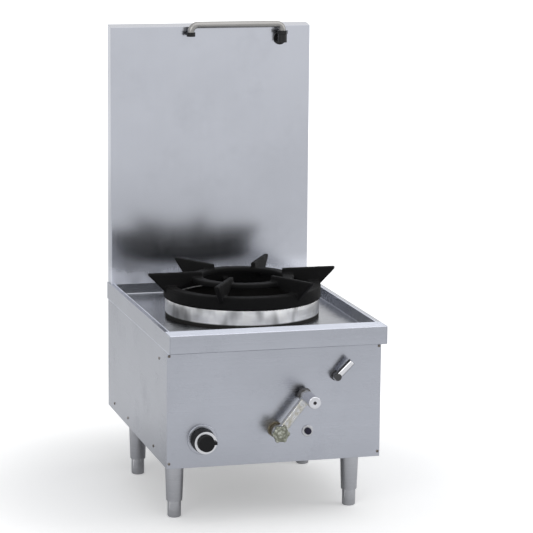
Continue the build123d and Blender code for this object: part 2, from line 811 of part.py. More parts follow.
with BuildPart() as gas_injector:
    with BuildSketch(lever_plane.offset(-cock_rear)):
        RegularPolygon(injector_hex_radius, 6)
    extrude(amount=-injector_hex)
    with BuildSketch(lever_plane.offset(-cock_rear - injector_hex)):
        Circle(injector_nozzle_radius)
    extrude(amount=-injector_nozzle)
    chamfer(gas_injector.edges().sort_by(Axis.Y)[-1], injector_nozzle_radius / 2)
    with BuildSketch(lever_plane.offset(-cock_rear)):
        Circle(injector_bore)
    extrude(amount=-injector_hex - injector_nozzle, mode=Mode.SUBTRACT)

gas_injector.part.label = "gas_injector"
export_step(gas_injector.part, "parts/gas_injector.step")

# Gas control valve behind the knob, with its spindle.
neck_gap = 2
valve_front = 14
valve_width = 46
valve_length = 60
valve_height = 50
valve_edge = 3
port_depth = 44
port_reach = 17
port_outer = 10
valve_hex = 10
valve_hex_radius = 18
pilot_port_depth = 30
sensor_port_depth = 58
small_port_radius = 6
small_port_height = 8
spindle_rear = 45
spindle_front = 30
valve_rear = valve_front + valve_length
valve_top_z = knob_z + valve_height / 2
small_port_top_z = valve_top_z + small_port_height

with BuildPart() as gas_control_valve:
    with BuildSketch(knob_plane.offset(-valve_front)):
        Rectangle(valve_width, valve_height)
    extrude(amount=-valve_length)
    fillet(gas_control_valve.edges().filter_by(Axis.Y), valve_edge)
    with BuildSketch(knob_plane.offset(-valve_front)):
        Circle(spindle_neck_radius)
    extrude(amount=valve_front + neck_gap)
    with BuildSketch(knob_plane.offset(-valve_rear)):
        RegularPolygon(valve_hex_radius, 6)
    extrude(amount=-valve_hex)
    with BuildSketch(Plane.YZ.offset(knob_x + valve_width / 2)):
        with Locations((front_y + port_depth, knob_z)):
            Circle(port_outer)
    extrude(amount=port_reach)
    with BuildSketch(Plane.XY.offset(valve_top_z)):
        with Locations((knob_x, front_y + pilot_port_depth), (knob_x, front_y + sensor_port_depth)):
            Circle(small_port_radius)
    extrude(amount=small_port_height)
    with BuildSketch(knob_plane.offset(neck_gap)):
        Circle(spindle_radius + shaft_clearance)
    extrude(amount=-spindle_rear - neck_gap - bore_relief, mode=Mode.SUBTRACT)

gas_control_valve.part.label = "gas_control_valve"
export_step(gas_control_valve.part, "parts/gas_control_valve.step")

with BuildPart() as gas_spindle:
    with BuildSketch(knob_plane.offset(-spindle_rear)):
        Circle(spindle_radius)
    extrude(amount=spindle_rear + spindle_front)

gas_spindle.part.label = "gas_spindle"
export_step(gas_spindle.part, "parts/gas_spindle.step")

# Gas knob: bezel on the panel, tapered skirt, silver dial ring and a grip with a pointer. It is
# pushed in before it turns.
bezel_radius = 41
bezel_thickness = 3
push_travel = 3
knob_gap = 0.5
knob_base = bezel_thickness + push_travel + knob_gap
knob_radius = 33
knob_front = 38
knob_taper = 3.6
grip_radius = 22
grip_front = 52
pointer_width = 8
pointer_reach = 29
dial_outer = 30.5
dial_inner = 23
dial_thickness = 2
knob_edge = 1.5

with BuildPart() as knob_bezel:
    with BuildSketch(knob_plane):
        Circle(bezel_radius)
    extrude(amount=bezel_thickness)
    fillet(knob_bezel.edges().sort_by(Axis.Y)[0], knob_edge)
    with BuildSketch(knob_plane):
        Circle(spindle_neck_radius + panel_hole_gap)
    extrude(amount=bezel_thickness, mode=Mode.SUBTRACT)

knob_bezel.part.label = "knob_bezel"
export_step(knob_bezel.part, "parts/knob_bezel.step")

with BuildPart() as gas_knob:
    with BuildSketch(knob_plane.offset(knob_base)):
        Circle(knob_radius)
    extrude(amount=knob_front - knob_base, taper=knob_taper)
    fillet(gas_knob.edges().sort_by(Axis.Y)[-1], knob_edge)
    with BuildSketch(knob_plane.offset(knob_front)):
        Circle(grip_radius)
    extrude(amount=grip_front - knob_front)
    with BuildSketch(knob_plane.offset(knob_front + dial_thickness)):
        Rectangle(pointer_reach, pointer_width, align=(Align.MIN, Align.CENTER))
    extrude(amount=grip_front - knob_front - dial_thickness)
    fillet(gas_knob.faces().sort_by(Axis.Y)[0].edges(), knob_edge)
    with BuildSketch(knob_plane.offset(knob_base)):
        Circle(spindle_radius + shaft_clearance)
    extrude(amount=spindle_front - knob_base + push_travel + bore_relief, mode=Mode.SUBTRACT)

gas_knob.part.label = "gas_knob"
export_step(gas_knob.part, "parts/gas_knob.step")

with BuildPart() as knob_ring:
    with BuildSketch(knob_plane.offset(knob_front)):
        Circle(dial_outer)
        Circle(dial_inner, mode=Mode.SUBTRACT)
    extrude(amount=dial_thickness - hole_clearance)

knob_ring.part.label = "knob_ring"
export_step(knob_ring.part, "parts/knob_ring.step")

# Gas supply pipe: from the threaded end at the back to the control valve's rear hexagon.
gas_pipe_bore = 10.6
gas_thread_radius = 13.22
gas_thread_length = 18
pipe_end_inset = 4
gas_pipe_start = valve_rear + valve_hex
gas_pipe_end = body_depth - pipe_end_inset

with BuildPart() as gas_supply_pipe:
    with BuildSketch(knob_plane.offset(-gas_pipe_start)):
        Circle(gas_pipe_radius)
        Circle(gas_pipe_bore, mode=Mode.SUBTRACT)
    extrude(amount=-(gas_pipe_end - gas_thread_length - gas_pipe_start))
    with BuildSketch(knob_plane.offset(-gas_pipe_end)):
        Circle(gas_thread_radius)
        Circle(gas_pipe_bore, mode=Mode.SUBTRACT)
    extrude(amount=gas_thread_length)

gas_supply_pipe.part.label = "gas_supply_pipe"
export_step(gas_supply_pipe.part, "parts/gas_supply_pipe.step")

# Gas cock: a brass body with a bonnet out through the panel.
bonnet_reach = 38
bonnet_lip = 12
bonnet_lip_radius = 21
cock_front = 20
cock_radius = 24
cock_length = 50
cock_port_reach = 20
cock_port_radius = 12
cock_tail_radius = 14
stem_shaft_radius = 6
stem_depth = 40

with BuildPart() as main_valve_body:
    with BuildSketch(lever_plane.offset(-cock_front)):
        Circle(cock_radius)
    extrude(amount=-cock_length)
    with BuildSketch(lever_plane.offset(-cock_front)):
        Circle(bonnet_radius)
    extrude(amount=cock_front + bonnet_reach)
    with BuildSketch(lever_plane):
        Circle(bonnet_lip_radius)
    extrude(amount=bonnet_lip)
    fillet(main_valve_body.edges().filter_by(GeomType.CIRCLE).sort_by(Axis.Y)[1], knob_edge)
    with BuildSketch(lever_plane.offset(-cock_front - cock_length)):
        Circle(cock_tail_radius)
    extrude(amount=-(cock_rear - cock_front - cock_length))
    with BuildSketch(Plane.YZ.offset(lever_x)):
        with Locations((front_y + port_depth, lever_z)):
            Circle(cock_port_radius)
    extrude(amount=-cock_radius - cock_port_reach)
    with BuildSketch(lever_plane.offset(bonnet_reach)):
        Circle(stem_shaft_radius + shaft_clearance)
    extrude(amount=-bonnet_reach - stem_depth - bore_relief, mode=Mode.SUBTRACT)

main_valve_body.part.label = "main_valve_body"
export_step(main_valve_body.part, "parts/main_valve_body.step")

# Link pipe between the two gas valves, with a small set to meet the cock's height.
link_radius = 7.5
link_wall = 1.2
link_bend = 30
link_lead = 35
link_set = 32
link_start_x = knob_x + valve_width / 2 + port_reach
link_end_x = lever_x - cock_radius - cock_port_reach
link_set_start = link_start_x + link_lead
link_set_end = link_set_start + link_set
link_y = front_y + port_depth

with BuildPart() as valve_link_pipe:
    with BuildLine() as link_path:
        FilletPolyline(
            (link_start_x, link_y, knob_z),
            (link_set_start, link_y, knob_z),
            (link_set_end, link_y, lever_z),
            (link_end_x, link_y, lever_z),
            radius=link_bend,
        )
    with BuildSketch(Plane(origin=(link_start_x, link_y, knob_z), z_dir=(1, 0, 0))):
        Circle(link_radius)
        Circle(link_radius - link_wall, mode=Mode.SUBTRACT)
    sweep(path=link_path.wires()[0])

valve_link_pipe.part.label = "valve_link_pipe"
export_step(valve_link_pipe.part, "parts/valve_link_pipe.step")

# Gas lever: an arm on the bonnet, held by a lobed brass cap whose stem turns the cock. A hexagon
# and a round hand grip stand at the arm's end.
lever_length = 121
lever_angle = 51
arm_gap = 0.3
arm_back = bonnet_reach + arm_gap
arm_thickness = 17.7
arm_front = arm_back + arm_thickness
arm_width = 22
arm_hub_radius = 19
arm_eye_radius = 17
arm_edge = 3
arm_blend = 10
arm_groove_width = 7
arm_groove_depth = 2
stud_radius = 6
hex_radius = 20
hex_back = 16
hand_grip_radius = 17
cap_radius = 21
cap_lobe_radius = 6
cap_lobe_ring = 19
cap_thickness = 11
grip_dx = lever_length * cos(radians(lever_angle))
grip_dz = lever_length * sin(radians(lever_angle))
arm_plane = Plane(
    origin=lever_plane.origin,
    x_dir=(cos(radians(lever_angle)), 0, sin(radians(lever_angle))),
    z_dir=(0, -1, 0),
)
grip_plane = Plane(
    origin=(lever_x + grip_dx, front_y, lever_z + grip_dz), x_dir=(1, 0, 0), z_dir=(0, -1, 0)
)

with BuildPart() as lever_arm:
    with BuildSketch(arm_plane.offset(arm_back)) as arm_profile:
        Rectangle(lever_length, arm_width, align=(Align.MIN, Align.CENTER))
        Circle(arm_hub_radius)
        with Locations((lever_length, 0)):
            Circle(arm_eye_radius)
        fillet(arm_profile.vertices().filter_by_position(Axis.X, 0, lever_length), arm_blend)
    extrude(amount=arm_thickness)
    fillet(lever_arm.faces().sort_by(Axis.Y)[0].edges(), arm_edge)
    with BuildSketch(arm_plane.offset(arm_front - arm_groove_depth)):
        with Locations((lever_length / 2, 0)):
            SlotOverall(lever_length - 2 * arm_hub_radius - arm_groove_width, arm_groove_width)
    extrude(amount=arm_groove_depth, mode=Mode.SUBTRACT)
    with BuildSketch(arm_plane.offset(arm_back)):
        Circle(stem_shaft_radius + hole_clearance)
        with Locations((lever_length, 0)):
            Circle(stud_radius + hole_clearance)
    extrude(amount=arm_thickness, mode=Mode.SUBTRACT)

lever_arm.part.label = "lever_arm"
export_step(lever_arm.part, "parts/lever_arm.step")

with BuildPart() as lever_cap:
    with BuildSketch(lever_plane.offset(arm_front)):
        Circle(cap_radius)
        with PolarLocations(cap_lobe_ring, 6):
            Circle(cap_lobe_radius)
    extrude(amount=cap_thickness)
    fillet(lever_cap.faces().sort_by(Axis.Y)[0].edges(), arm_edge)
    with BuildSketch(lever_plane.offset(arm_front)):
        Circle(stem_shaft_radius)
    extrude(amount=-arm_front - stem_depth)

lever_cap.part.label = "lever_cap"
export_step(lever_cap.part, "parts/lever_cap.step")

with BuildPart() as grip_collar:
    with BuildSketch(grip_plane.offset(hex_back)):
        RegularPolygon(hex_radius, 6)
    extrude(amount=arm_back - hex_back)
    chamfer(grip_collar.faces().sort_by(Axis.Y)[-1].edges(), knob_edge)
    with BuildSketch(grip_plane.offset(arm_back)):
        Circle(stud_radius)
    extrude(amount=arm_thickness)

grip_collar.part.label = "grip_collar"
export_step(grip_collar.part, "parts/grip_collar.step")

grip_screw_radius = 4.5
grip_screw_depth = 3

with BuildPart() as lever_grip:
    with BuildSketch(grip_plane.offset(arm_front)):
        Circle(hand_grip_radius)
    extrude(amount=lever_reach - arm_front)
    fillet(lever_grip.edges().sort_by(Axis.Y)[0], arm_edge)
    with BuildSketch(grip_plane.offset(lever_reach)):
        Circle(grip_screw_radius)
    extrude(amount=-grip_screw_depth, mode=Mode.SUBTRACT)

lever_grip.part.label = "lever_grip"
export_step(lever_grip.part, "parts/lever_grip.step")

# Igniter: a push button in a flanged body, with its nut behind the panel.
igniter_flange_radius = 16
igniter_flange = 3
igniter_length = 40
igniter_nut_radius = 15
igniter_nut = 6
button_radius = 9
button_bore_gap = 0.1
button_front = 12
button_rear = 12
button_travel = 6

with BuildPart() as igniter_body:
    with BuildSketch(igniter_plane):
        Circle(igniter_flange_radius)
    extrude(amount=igniter_flange)
    fillet(igniter_body.edges().sort_by(Axis.Y)[0], knob_edge)
    with BuildSketch(igniter_plane):
        Circle(igniter_neck_radius)
    extrude(amount=-igniter_length)
    with BuildSketch(igniter_plane.offset(-sheet)):
        RegularPolygon(igniter_nut_radius, 6)
    extrude(amount=-igniter_nut)
    with BuildSketch(igniter_plane.offset(igniter_flange)):
        Circle(button_radius + button_bore_gap)
    extrude(amount=-igniter_flange - button_rear - button_travel - bore_relief, mode=Mode.SUBTRACT)

igniter_body.part.label = "igniter_body"
export_step(igniter_body.part, "parts/igniter_body.step")

with BuildPart() as igniter_button:
    with BuildSketch(igniter_plane.offset(-button_rear)):
        Circle(button_radius)
    extrude(amount=button_rear + button_front)
    fillet(igniter_button.edges().sort_by(Axis.Y)[0], arm_edge)

igniter_button.part.label = "igniter_button"
export_step(igniter_button.part, "parts/igniter_button.step")

# Pilot burner, thermocouple and spark electrode, on a plate that rides on the burner bracket.
pilot_x = -115
pilot_offset = 34
pilot_y = burner_y - pilot_offset
pilot_spread = 14
pilot_plate_width = 48
pilot_plate_depth = 44
pilot_plate = 2
pilot_radius = 6
pilot_hood_radius = 8
pilot_hood = 12
pilot_top_z = bowl_top_z
pilot_stub = 8
pilot_stub_radius = 4.5
rod_radius = 3
rod_foot = 10
rod_nut_radius = 5
pilot_plate_z = bracket_top_z
rod_foot_z = bracket_bottom_z - rod_foot

with BuildPart() as pilot_burner:
    with BuildSketch(Plane.XY.offset(pilot_plate_z)):
        with Locations((pilot_x, pilot_y + pilot_plate_depth / 4)):
            Rectangle(pilot_plate_width, pilot_plate_depth)
    extrude(amount=pilot_plate)
    with BuildSketch(Plane.XY.offset(pilot_plate_z)):
        with Locations((pilot_x, pilot_y)):
            Circle(pilot_radius)
    extrude(amount=pilot_top_z - pilot_plate_z)
    with BuildSketch(Plane.XY.offset(pilot_top_z - pilot_hood)):
        with Locations((pilot_x, pilot_y)):
            Circle(pilot_hood_radius)
    extrude(amount=pilot_hood)
    with BuildSketch(Plane.XY.offset(pilot_plate_z - pilot_stub)):
        with Locations((pilot_x, pilot_y)):
            Circle(pilot_stub_radius)
    extrude(amount=pilot_stub)
    with BuildSketch(Plane.XY.offset(pilot_plate_z)):
        with Locations((pilot_x - pilot_spread, pilot_y), (pilot_x + pilot_spread, pilot_y)):
            Circle(rod_radius + hole_clearance)
    extrude(amount=pilot_plate, mode=Mode.SUBTRACT)

pilot_burner.part.label = "pilot_burner"
export_step(pilot_burner.part, "parts/pilot_burner.step")

# Pilot tube: small copper pipe from the control valve's top port to the pilot.
pilot_tube_radius = 3
pilot_tube_bend = 25
pilot_run_height = 175
sensor_run_height = 145
pilot_run_z = leg_height + pilot_run_height
sensor_run_z = leg_height + sensor_run_height
pilot_port_y = front_y + pilot_port_depth
sensor_port_y = front_y + sensor_port_depth

with BuildPart() as pilot_tube:
    with BuildLine() as pilot_path:
        FilletPolyline(
            (knob_x, pilot_port_y, small_port_top_z),
            (knob_x, pilot_port_y, pilot_run_z),
            (pilot_x, pilot_y, pilot_run_z),
            (pilot_x, pilot_y, pilot_plate_z - pilot_stub),
            radius=pilot_tube_bend,
        )
    with BuildSketch(Plane(origin=(knob_x, pilot_port_y, small_port_top_z), z_dir=(0, 0, 1))):
        Circle(pilot_tube_radius)
    sweep(path=pilot_path.wires()[0])

pilot_tube.part.label = "pilot_tube"
export_step(pilot_tube.part, "parts/pilot_tube.step")

# Thermocouple: a probe beside the pilot, with a thin lead back to the control valve.
lead_radius = 1.5
lead_bend = 22
sensor_x = pilot_x - pilot_spread

with BuildPart() as thermocouple:
    with BuildSketch(Plane.XY.offset(rod_foot_z)):
        with Locations((sensor_x, pilot_y)):
            Circle(rod_radius)
    extrude(amount=pilot_top_z - rod_foot_z)
    with BuildSketch(Plane.XY.offset(rod_foot_z)):
        with Locations((sensor_x, pilot_y)):
            RegularPolygon(rod_nut_radius, 6)
    extrude(amount=pilot_plate_z - rod_foot_z)
    with BuildLine() as sensor_path:
        FilletPolyline(
            (sensor_x, pilot_y, rod_foot_z),
            (sensor_x, pilot_y, sensor_run_z),
            (knob_x, sensor_port_y, sensor_run_z),
            (knob_x, sensor_port_y, small_port_top_z),
            radius=lead_bend,
        )
    with BuildSketch(Plane(origin=(sensor_x, pilot_y, rod_foot_z), z_dir=(0, 0, -1))):
        Circle(lead_radius)
    sweep(path=sensor_path.wires()[0])

thermocouple.part.label = "thermocouple"
export_step(thermocouple.part, "parts/thermocouple.step")

# Spark electrode: a ceramic rod with a thin tip, and the igniter's lead to it.
electrode_x = pilot_x + pilot_spread
tip_radius = 1
tip_height = 14

with BuildPart() as spark_electrode:
    with BuildSketch(Plane.XY.offset(rod_foot_z)):
        with Locations((electrode_x, pilot_y)):
            Circle(rod_radius)
    extrude(amount=pilot_top_z - tip_height - rod_foot_z)
    with BuildSketch(Plane.XY.offset(rod_foot_z)):
        with Locations((electrode_x, pilot_y)):
            Circle(tip_radius)
    extrude(amount=pilot_top_z - rod_foot_z)
    with BuildSketch(Plane.XY.offset(rod_foot_z)):
        with Locations((electrode_x, pilot_y)):
            Circle(rod_nut_radius)
    extrude(amount=pilot_plate_z - rod_foot_z)

spark_electrode.part.label = "spark_electrode"
export_step(spark_electrode.part, "parts/spark_electrode.step")

igniter_rear_y = front_y + igniter_length
lead_loop = 40
lead_drop = 60
lead_rise = 60
lead_turn_y = igniter_rear_y + lead_loop
lead_high_z = bracket_bottom_z - lead_drop
lead_low_z = igniter_z + lead_rise

with BuildPart() as ignition_lead:
    with BuildLine() as ignition_path:
        FilletPolyline(
            (electrode_x, pilot_y, rod_foot_z),
            (electrode_x, pilot_y, lead_high_z),
            (igniter_x, lead_turn_y, lead_low_z),
            (igniter_x, lead_turn_y, igniter_z),
            (igniter_x, igniter_rear_y, igniter_z),
            radius=lead_bend,
        )
    with BuildSketch(Plane(origin=(electrode_x, pilot_y, rod_foot_z), z_dir=(0, 0, -1))):
        Circle(lead_radius)
    sweep(path=ignition_path.wires()[0])

ignition_lead.part.label = "ignition_lead"
export_step(ignition_lead.part, "parts/ignition_lead.step")

# Water tap: body behind the panel, dark collar in front and a lever with its spindle.
tap_front = 14
tap_body_radius = 16
tap_body_length = 44
tap_port_depth = 36
tap_port_radius = 10
tap_port_drop = 26
tap_tail = 8
tap_neck_reach = 9
tap_spindle_radius = 5
tap_spindle_depth = 29
collar_radius = 13.5
collar_reach = 10
tap_hub_radius = 11
tap_hub_length = 20
tap_lever_radius = 10
tap_lever_length = 58
tap_lever_angle = 48
tap_lever_tilt = 10
tap_rear = tap_front + tap_body_length

with BuildPart() as tap_valve_body:
    with BuildSketch(tap_plane.offset(-tap_front)):
        Circle(tap_body_radius)
    extrude(amount=-tap_body_length)
    with BuildSketch(tap_plane.offset(-tap_front)):
        Circle(tap_neck_radius)
    extrude(amount=tap_front + tap_neck_reach)
    with BuildSketch(tap_plane.offset(-tap_rear)):
        Circle(tap_port_radius)
    extrude(amount=-tap_tail)
    with BuildSketch(Plane.XY.offset(tap_z - tap_port_drop)):
        with Locations((tap_x, front_y + tap_port_depth)):
            Circle(tap_port_radius)
    extrude(amount=tap_port_drop)
    with BuildSketch(tap_plane.offset(tap_neck_reach)):
        Circle(tap_spindle_radius + shaft_clearance)
    extrude(amount=-tap_neck_reach - tap_spindle_depth - bore_relief, mode=Mode.SUBTRACT)

tap_valve_body.part.label = "tap_valve_body"
export_step(tap_valve_body.part, "parts/tap_valve_body.step")

with BuildPart() as tap_collar:
    with BuildSketch(tap_plane):
        Circle(collar_radius)
    extrude(amount=collar_reach)
    fillet(tap_collar.edges().sort_by(Axis.Y)[0], knob_edge)
    with BuildSketch(tap_plane):
        Circle(tap_neck_radius + hole_clearance)
    extrude(amount=tap_neck_reach + hole_clearance, mode=Mode.SUBTRACT)
    with BuildSketch(tap_plane):
        Circle(tap_spindle_radius + hole_clearance)
    extrude(amount=collar_reach, mode=Mode.SUBTRACT)

tap_collar.part.label = "tap_collar"
export_step(tap_collar.part, "parts/tap_collar.step")

tap_hub_back = collar_reach + seat_gap
tap_lever_start = tap_hub_back + tap_hub_length / 2
tilt = radians(tap_lever_tilt)
turn = radians(tap_lever_angle)
tap_lever_plane = Plane(
    origin=(tap_x, front_y - tap_lever_start, tap_z),
    x_dir=(-sin(turn), 0, cos(turn)),
    z_dir=(cos(turn) * cos(tilt), -sin(tilt), sin(turn) * cos(tilt)),
)
tap_lever_axis = Axis(tap_lever_plane.origin, tap_lever_plane.z_dir)

with BuildPart() as tap_lever:
    with BuildSketch(tap_plane.offset(tap_hub_back)):
        Circle(tap_hub_radius)
    extrude(amount=tap_hub_length)
    fillet(tap_lever.edges().sort_by(Axis.Y)[0], arm_edge)
    with BuildSketch(tap_lever_plane):
        Circle(tap_lever_radius)
    extrude(amount=tap_lever_length)
    fillet(tap_lever.edges().filter_by(GeomType.CIRCLE).sort_by(tap_lever_axis)[-1], arm_edge)
    with BuildSketch(tap_plane.offset(tap_hub_back)):
        Circle(tap_spindle_radius)
    extrude(amount=-tap_hub_back - tap_spindle_depth)

tap_lever.part.label = "tap_lever"
export_step(tap_lever.part, "parts/tap_lever.step")

# Water supply pipe: from the threaded end at the back, forward and up to the tap's lower port.
water_tube_radius = 7.5
water_tube_wall = 1.2
water_bend = 35
water_thread_radius = 10.48
water_thread_length = 15
nipple_length = 58
nipple_bore = water_tube_radius - water_tube_wall
nipple_end_y = back_y - pipe_end_inset
nipple_start_y = nipple_end_y - nipple_length
tap_port_y = front_y + tap_port_depth

with BuildPart() as water_supply_pipe:
    with BuildSketch(Plane.XZ.offset(-nipple_end_y)):
        with Locations((tap_x, water_inlet_z)):
            Circle(water_thread_radius)
            Circle(nipple_bore, mode=Mode.SUBTRACT)
    extrude(amount=water_thread_length)
    with BuildSketch(Plane.XZ.offset(-nipple_end_y + water_thread_length)):
        with Locations((tap_x, water_inlet_z)):
            Circle(water_pipe_radius)
            Circle(nipple_bore, mode=Mode.SUBTRACT)
    extrude(amount=nipple_length - water_thread_length)
    with BuildLine() as water_path:
        FilletPolyline(
            (tap_x, nipple_start_y, water_inlet_z),
            (tap_x, tap_port_y, water_inlet_z),
            (tap_x, tap_port_y, tap_z - tap_port_drop),
            radius=water_bend,
        )
    with BuildSketch(Plane(origin=(tap_x, nipple_start_y, water_inlet_z), z_dir=(0, -1, 0))):
        Circle(water_tube_radius)
        Circle(nipple_bore, mode=Mode.SUBTRACT)
    sweep(path=water_path.wires()[0])

water_supply_pipe.part.label = "water_supply_pipe"
export_step(water_supply_pipe.part, "parts/water_supply_pipe.step")

# Riser pipe: from the tap's tail to the back, then up inside the splashback to the filler.
riser_wall = 1.2
riser_inset = 20.5
riser_lead = 94
riser_set = 100
riser_bend = 60
riser_elbow_bend = 18
riser_y = back_y - riser_inset
riser_start_y = front_y + tap_rear + tap_tail
riser_shift_y = riser_start_y + riser_lead
riser_shift_end_y = riser_shift_y + riser_set
elbow_radius = 11
elbow_height = 24
elbow_bottom_z = filler_z - elbow_height / 2

with BuildPart() as filler_riser_pipe:
    with BuildLine() as riser_path:
        FilletPolyline(
            (tap_x, riser_start_y, tap_z),
            (tap_x, riser_shift_y, tap_z),
            (riser_x, riser_shift_end_y, tap_z),
            (riser_x, riser_y, tap_z),
            (riser_x, riser_y, elbow_bottom_z),
            radius=(riser_bend, riser_bend, riser_elbow_bend),
        )
    with BuildSketch(Plane(origin=(tap_x, riser_start_y, tap_z), z_dir=(0, 1, 0))):
        Circle(riser_radius)
        Circle(riser_radius - riser_wall, mode=Mode.SUBTRACT)
    sweep(path=riser_path.wires()[0])

filler_riser_pipe.part.label = "filler_riser_pipe"
export_step(filler_riser_pipe.part, "parts/filler_riser_pipe.step")

# Pot filler bracket: an elbow inside the splashback, a flange on its face and an upright socket.
filler_stand_off = 30
filler_flange_radius = 19
filler_flange = 4
socket_radius = 13
socket_below = 10
socket_above = 14
socket_bottom_z = filler_z - socket_below
socket_top_z = filler_z + socket_above
spigot_radius = 8
spigot_length = 18
swivel_y = splash_front_y - filler_stand_off

with BuildPart() as filler_bracket:
    with BuildSketch(Plane.XY.offset(elbow_bottom_z)):
        with Locations((riser_x, riser_y)):
            Circle(elbow_radius)
    extrude(amount=elbow_height)
    with BuildSketch(Plane.XZ.offset(-riser_y)):
        with Locations((riser_x, filler_z)):
            Circle(filler_tube_radius)
    extrude(amount=riser_y - swivel_y)
    with BuildSketch(Plane.XZ.offset(-splash_front_y)):
        with Locations((riser_x, filler_z)):
            Circle(filler_flange_radius)
    extrude(amount=filler_flange)
    with BuildSketch(Plane.XY.offset(socket_bottom_z)):
        with Locations((riser_x, swivel_y)):
            Circle(socket_radius)
    extrude(amount=socket_top_z - socket_bottom_z)
    fillet(filler_bracket.edges().filter_by(GeomType.CIRCLE).group_by(Axis.Z)[0], knob_edge)
    with BuildSketch(Plane.XY.offset(socket_top_z)):
        with Locations((riser_x, swivel_y)):
            Circle(spigot_radius + shaft_clearance)
    extrude(amount=-spigot_length - bore_relief, mode=Mode.SUBTRACT)

filler_bracket.part.label = "filler_bracket"
export_step(filler_bracket.part, "parts/filler_bracket.step")

# Pot filler arm: a spigot in the socket, a bend, a long level tube and a turned-down end.
arm_tube_radius = 9.5
arm_tube_wall = 1.2
arm_rise = 29
arm_z = socket_top_z + seat_gap + arm_rise
arm_start_z = socket_top_z + seat_gap
arm_reach = 273
arm_end_x = riser_x - arm_reach
arm_drop = 31
swivel_bend = 18
outlet_bend = 20

with BuildPart() as filler_arm:
    with BuildLine() as arm_path:
        FilletPolyline(
            (riser_x, swivel_y, arm_start_z),
            (riser_x, swivel_y, arm_z),
            (arm_end_x, swivel_y, arm_z),
            (arm_end_x, swivel_y, arm_z - arm_drop),
            radius=(swivel_bend, outlet_bend),
        )
    with BuildSketch(Plane.XY.offset(arm_start_z)):
        with Locations((riser_x, swivel_y)):
            Circle(arm_tube_radius)
            Circle(arm_tube_radius - arm_tube_wall, mode=Mode.SUBTRACT)
    sweep(path=arm_path.wires()[0])
    with BuildSketch(Plane.XY.offset(socket_top_z - spigot_length)):
        with Locations((riser_x, swivel_y)):
            Circle(spigot_radius)
            Circle(spigot_radius - arm_tube_wall - seat_gap, mode=Mode.SUBTRACT)
    extrude(amount=spigot_length + 2 * seat_gap)
    with BuildSketch(Plane.XY.offset(arm_start_z)):
        with Locations((riser_x, swivel_y)):
            Circle(arm_tube_radius - arm_tube_wall / 2)
            Circle(spigot_radius - arm_tube_wall - seat_gap, mode=Mode.SUBTRACT)
    extrude(amount=sheet)

filler_arm.part.label = "filler_arm"
export_step(filler_arm.part, "parts/filler_arm.step")

# Swivel nut round the arm's foot, and the nozzle sleeve on its outlet.
nut_radius = 16
nut_height = 10
nozzle_radius = 12.5
nozzle_height = 12
nozzle_lip = 2

with BuildPart() as filler_swivel_nut:
    with BuildSketch(Plane.XY.offset(arm_start_z)):
        with Locations((riser_x, swivel_y)):
            RegularPolygon(nut_radius, 6)
            Circle(arm_tube_radius, mode=Mode.SUBTRACT)
    extrude(amount=nut_height)

filler_swivel_nut.part.label = "filler_swivel_nut"
export_step(filler_swivel_nut.part, "parts/filler_swivel_nut.step")

with BuildPart() as filler_nozzle:
    with BuildSketch(Plane.XY.offset(arm_z - arm_drop - nozzle_lip)):
        with Locations((arm_end_x, swivel_y)):
            Circle(nozzle_radius)
    extrude(amount=nozzle_height)
    with BuildSketch(Plane.XY.offset(arm_z - arm_drop)):
        with Locations((arm_end_x, swivel_y)):
            Circle(arm_tube_radius)
    extrude(amount=nozzle_height, mode=Mode.SUBTRACT)
    with BuildSketch(Plane.XY.offset(arm_z - arm_drop - nozzle_lip)):
        with Locations((arm_end_x, swivel_y)):
            Circle(arm_tube_radius - nozzle_lip)
    extrude(amount=nozzle_lip, mode=Mode.SUBTRACT)

filler_nozzle.part.label = "filler_nozzle"
export_step(filler_nozzle.part, "parts/filler_nozzle.step")
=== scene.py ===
import json
import math

import bmesh
import bpy
from mathutils import Matrix, Vector, noise

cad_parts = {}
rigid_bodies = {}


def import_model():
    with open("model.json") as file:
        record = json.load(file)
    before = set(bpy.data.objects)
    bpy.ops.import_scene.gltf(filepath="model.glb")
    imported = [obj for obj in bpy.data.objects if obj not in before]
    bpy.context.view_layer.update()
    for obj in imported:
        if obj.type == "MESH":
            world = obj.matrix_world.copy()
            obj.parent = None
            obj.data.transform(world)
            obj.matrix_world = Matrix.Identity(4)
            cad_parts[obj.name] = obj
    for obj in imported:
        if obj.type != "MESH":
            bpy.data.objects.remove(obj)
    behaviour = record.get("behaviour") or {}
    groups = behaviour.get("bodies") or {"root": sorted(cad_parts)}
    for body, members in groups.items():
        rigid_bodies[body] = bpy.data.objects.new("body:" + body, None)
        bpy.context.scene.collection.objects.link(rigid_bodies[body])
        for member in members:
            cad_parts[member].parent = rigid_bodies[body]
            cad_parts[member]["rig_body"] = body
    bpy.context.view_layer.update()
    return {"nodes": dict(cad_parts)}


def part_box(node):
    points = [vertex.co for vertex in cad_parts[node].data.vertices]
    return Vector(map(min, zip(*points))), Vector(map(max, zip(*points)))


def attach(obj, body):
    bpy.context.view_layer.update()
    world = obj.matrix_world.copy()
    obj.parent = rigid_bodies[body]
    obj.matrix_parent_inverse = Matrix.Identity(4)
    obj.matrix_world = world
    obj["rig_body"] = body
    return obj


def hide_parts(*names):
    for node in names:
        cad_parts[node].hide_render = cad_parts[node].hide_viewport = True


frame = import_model()

# Camera. A long lens stands well back to the left of the range and a little above it, so the
# front, the left side and the hob all show.
camera_place = Vector((-1.720, -6.343, 1.851))
camera_yaw = math.radians(15.688)
camera_pitch = math.radians(10.394)
camera_roll = math.radians(0.533)
camera_lens = 162.4
camera_sensor = 36

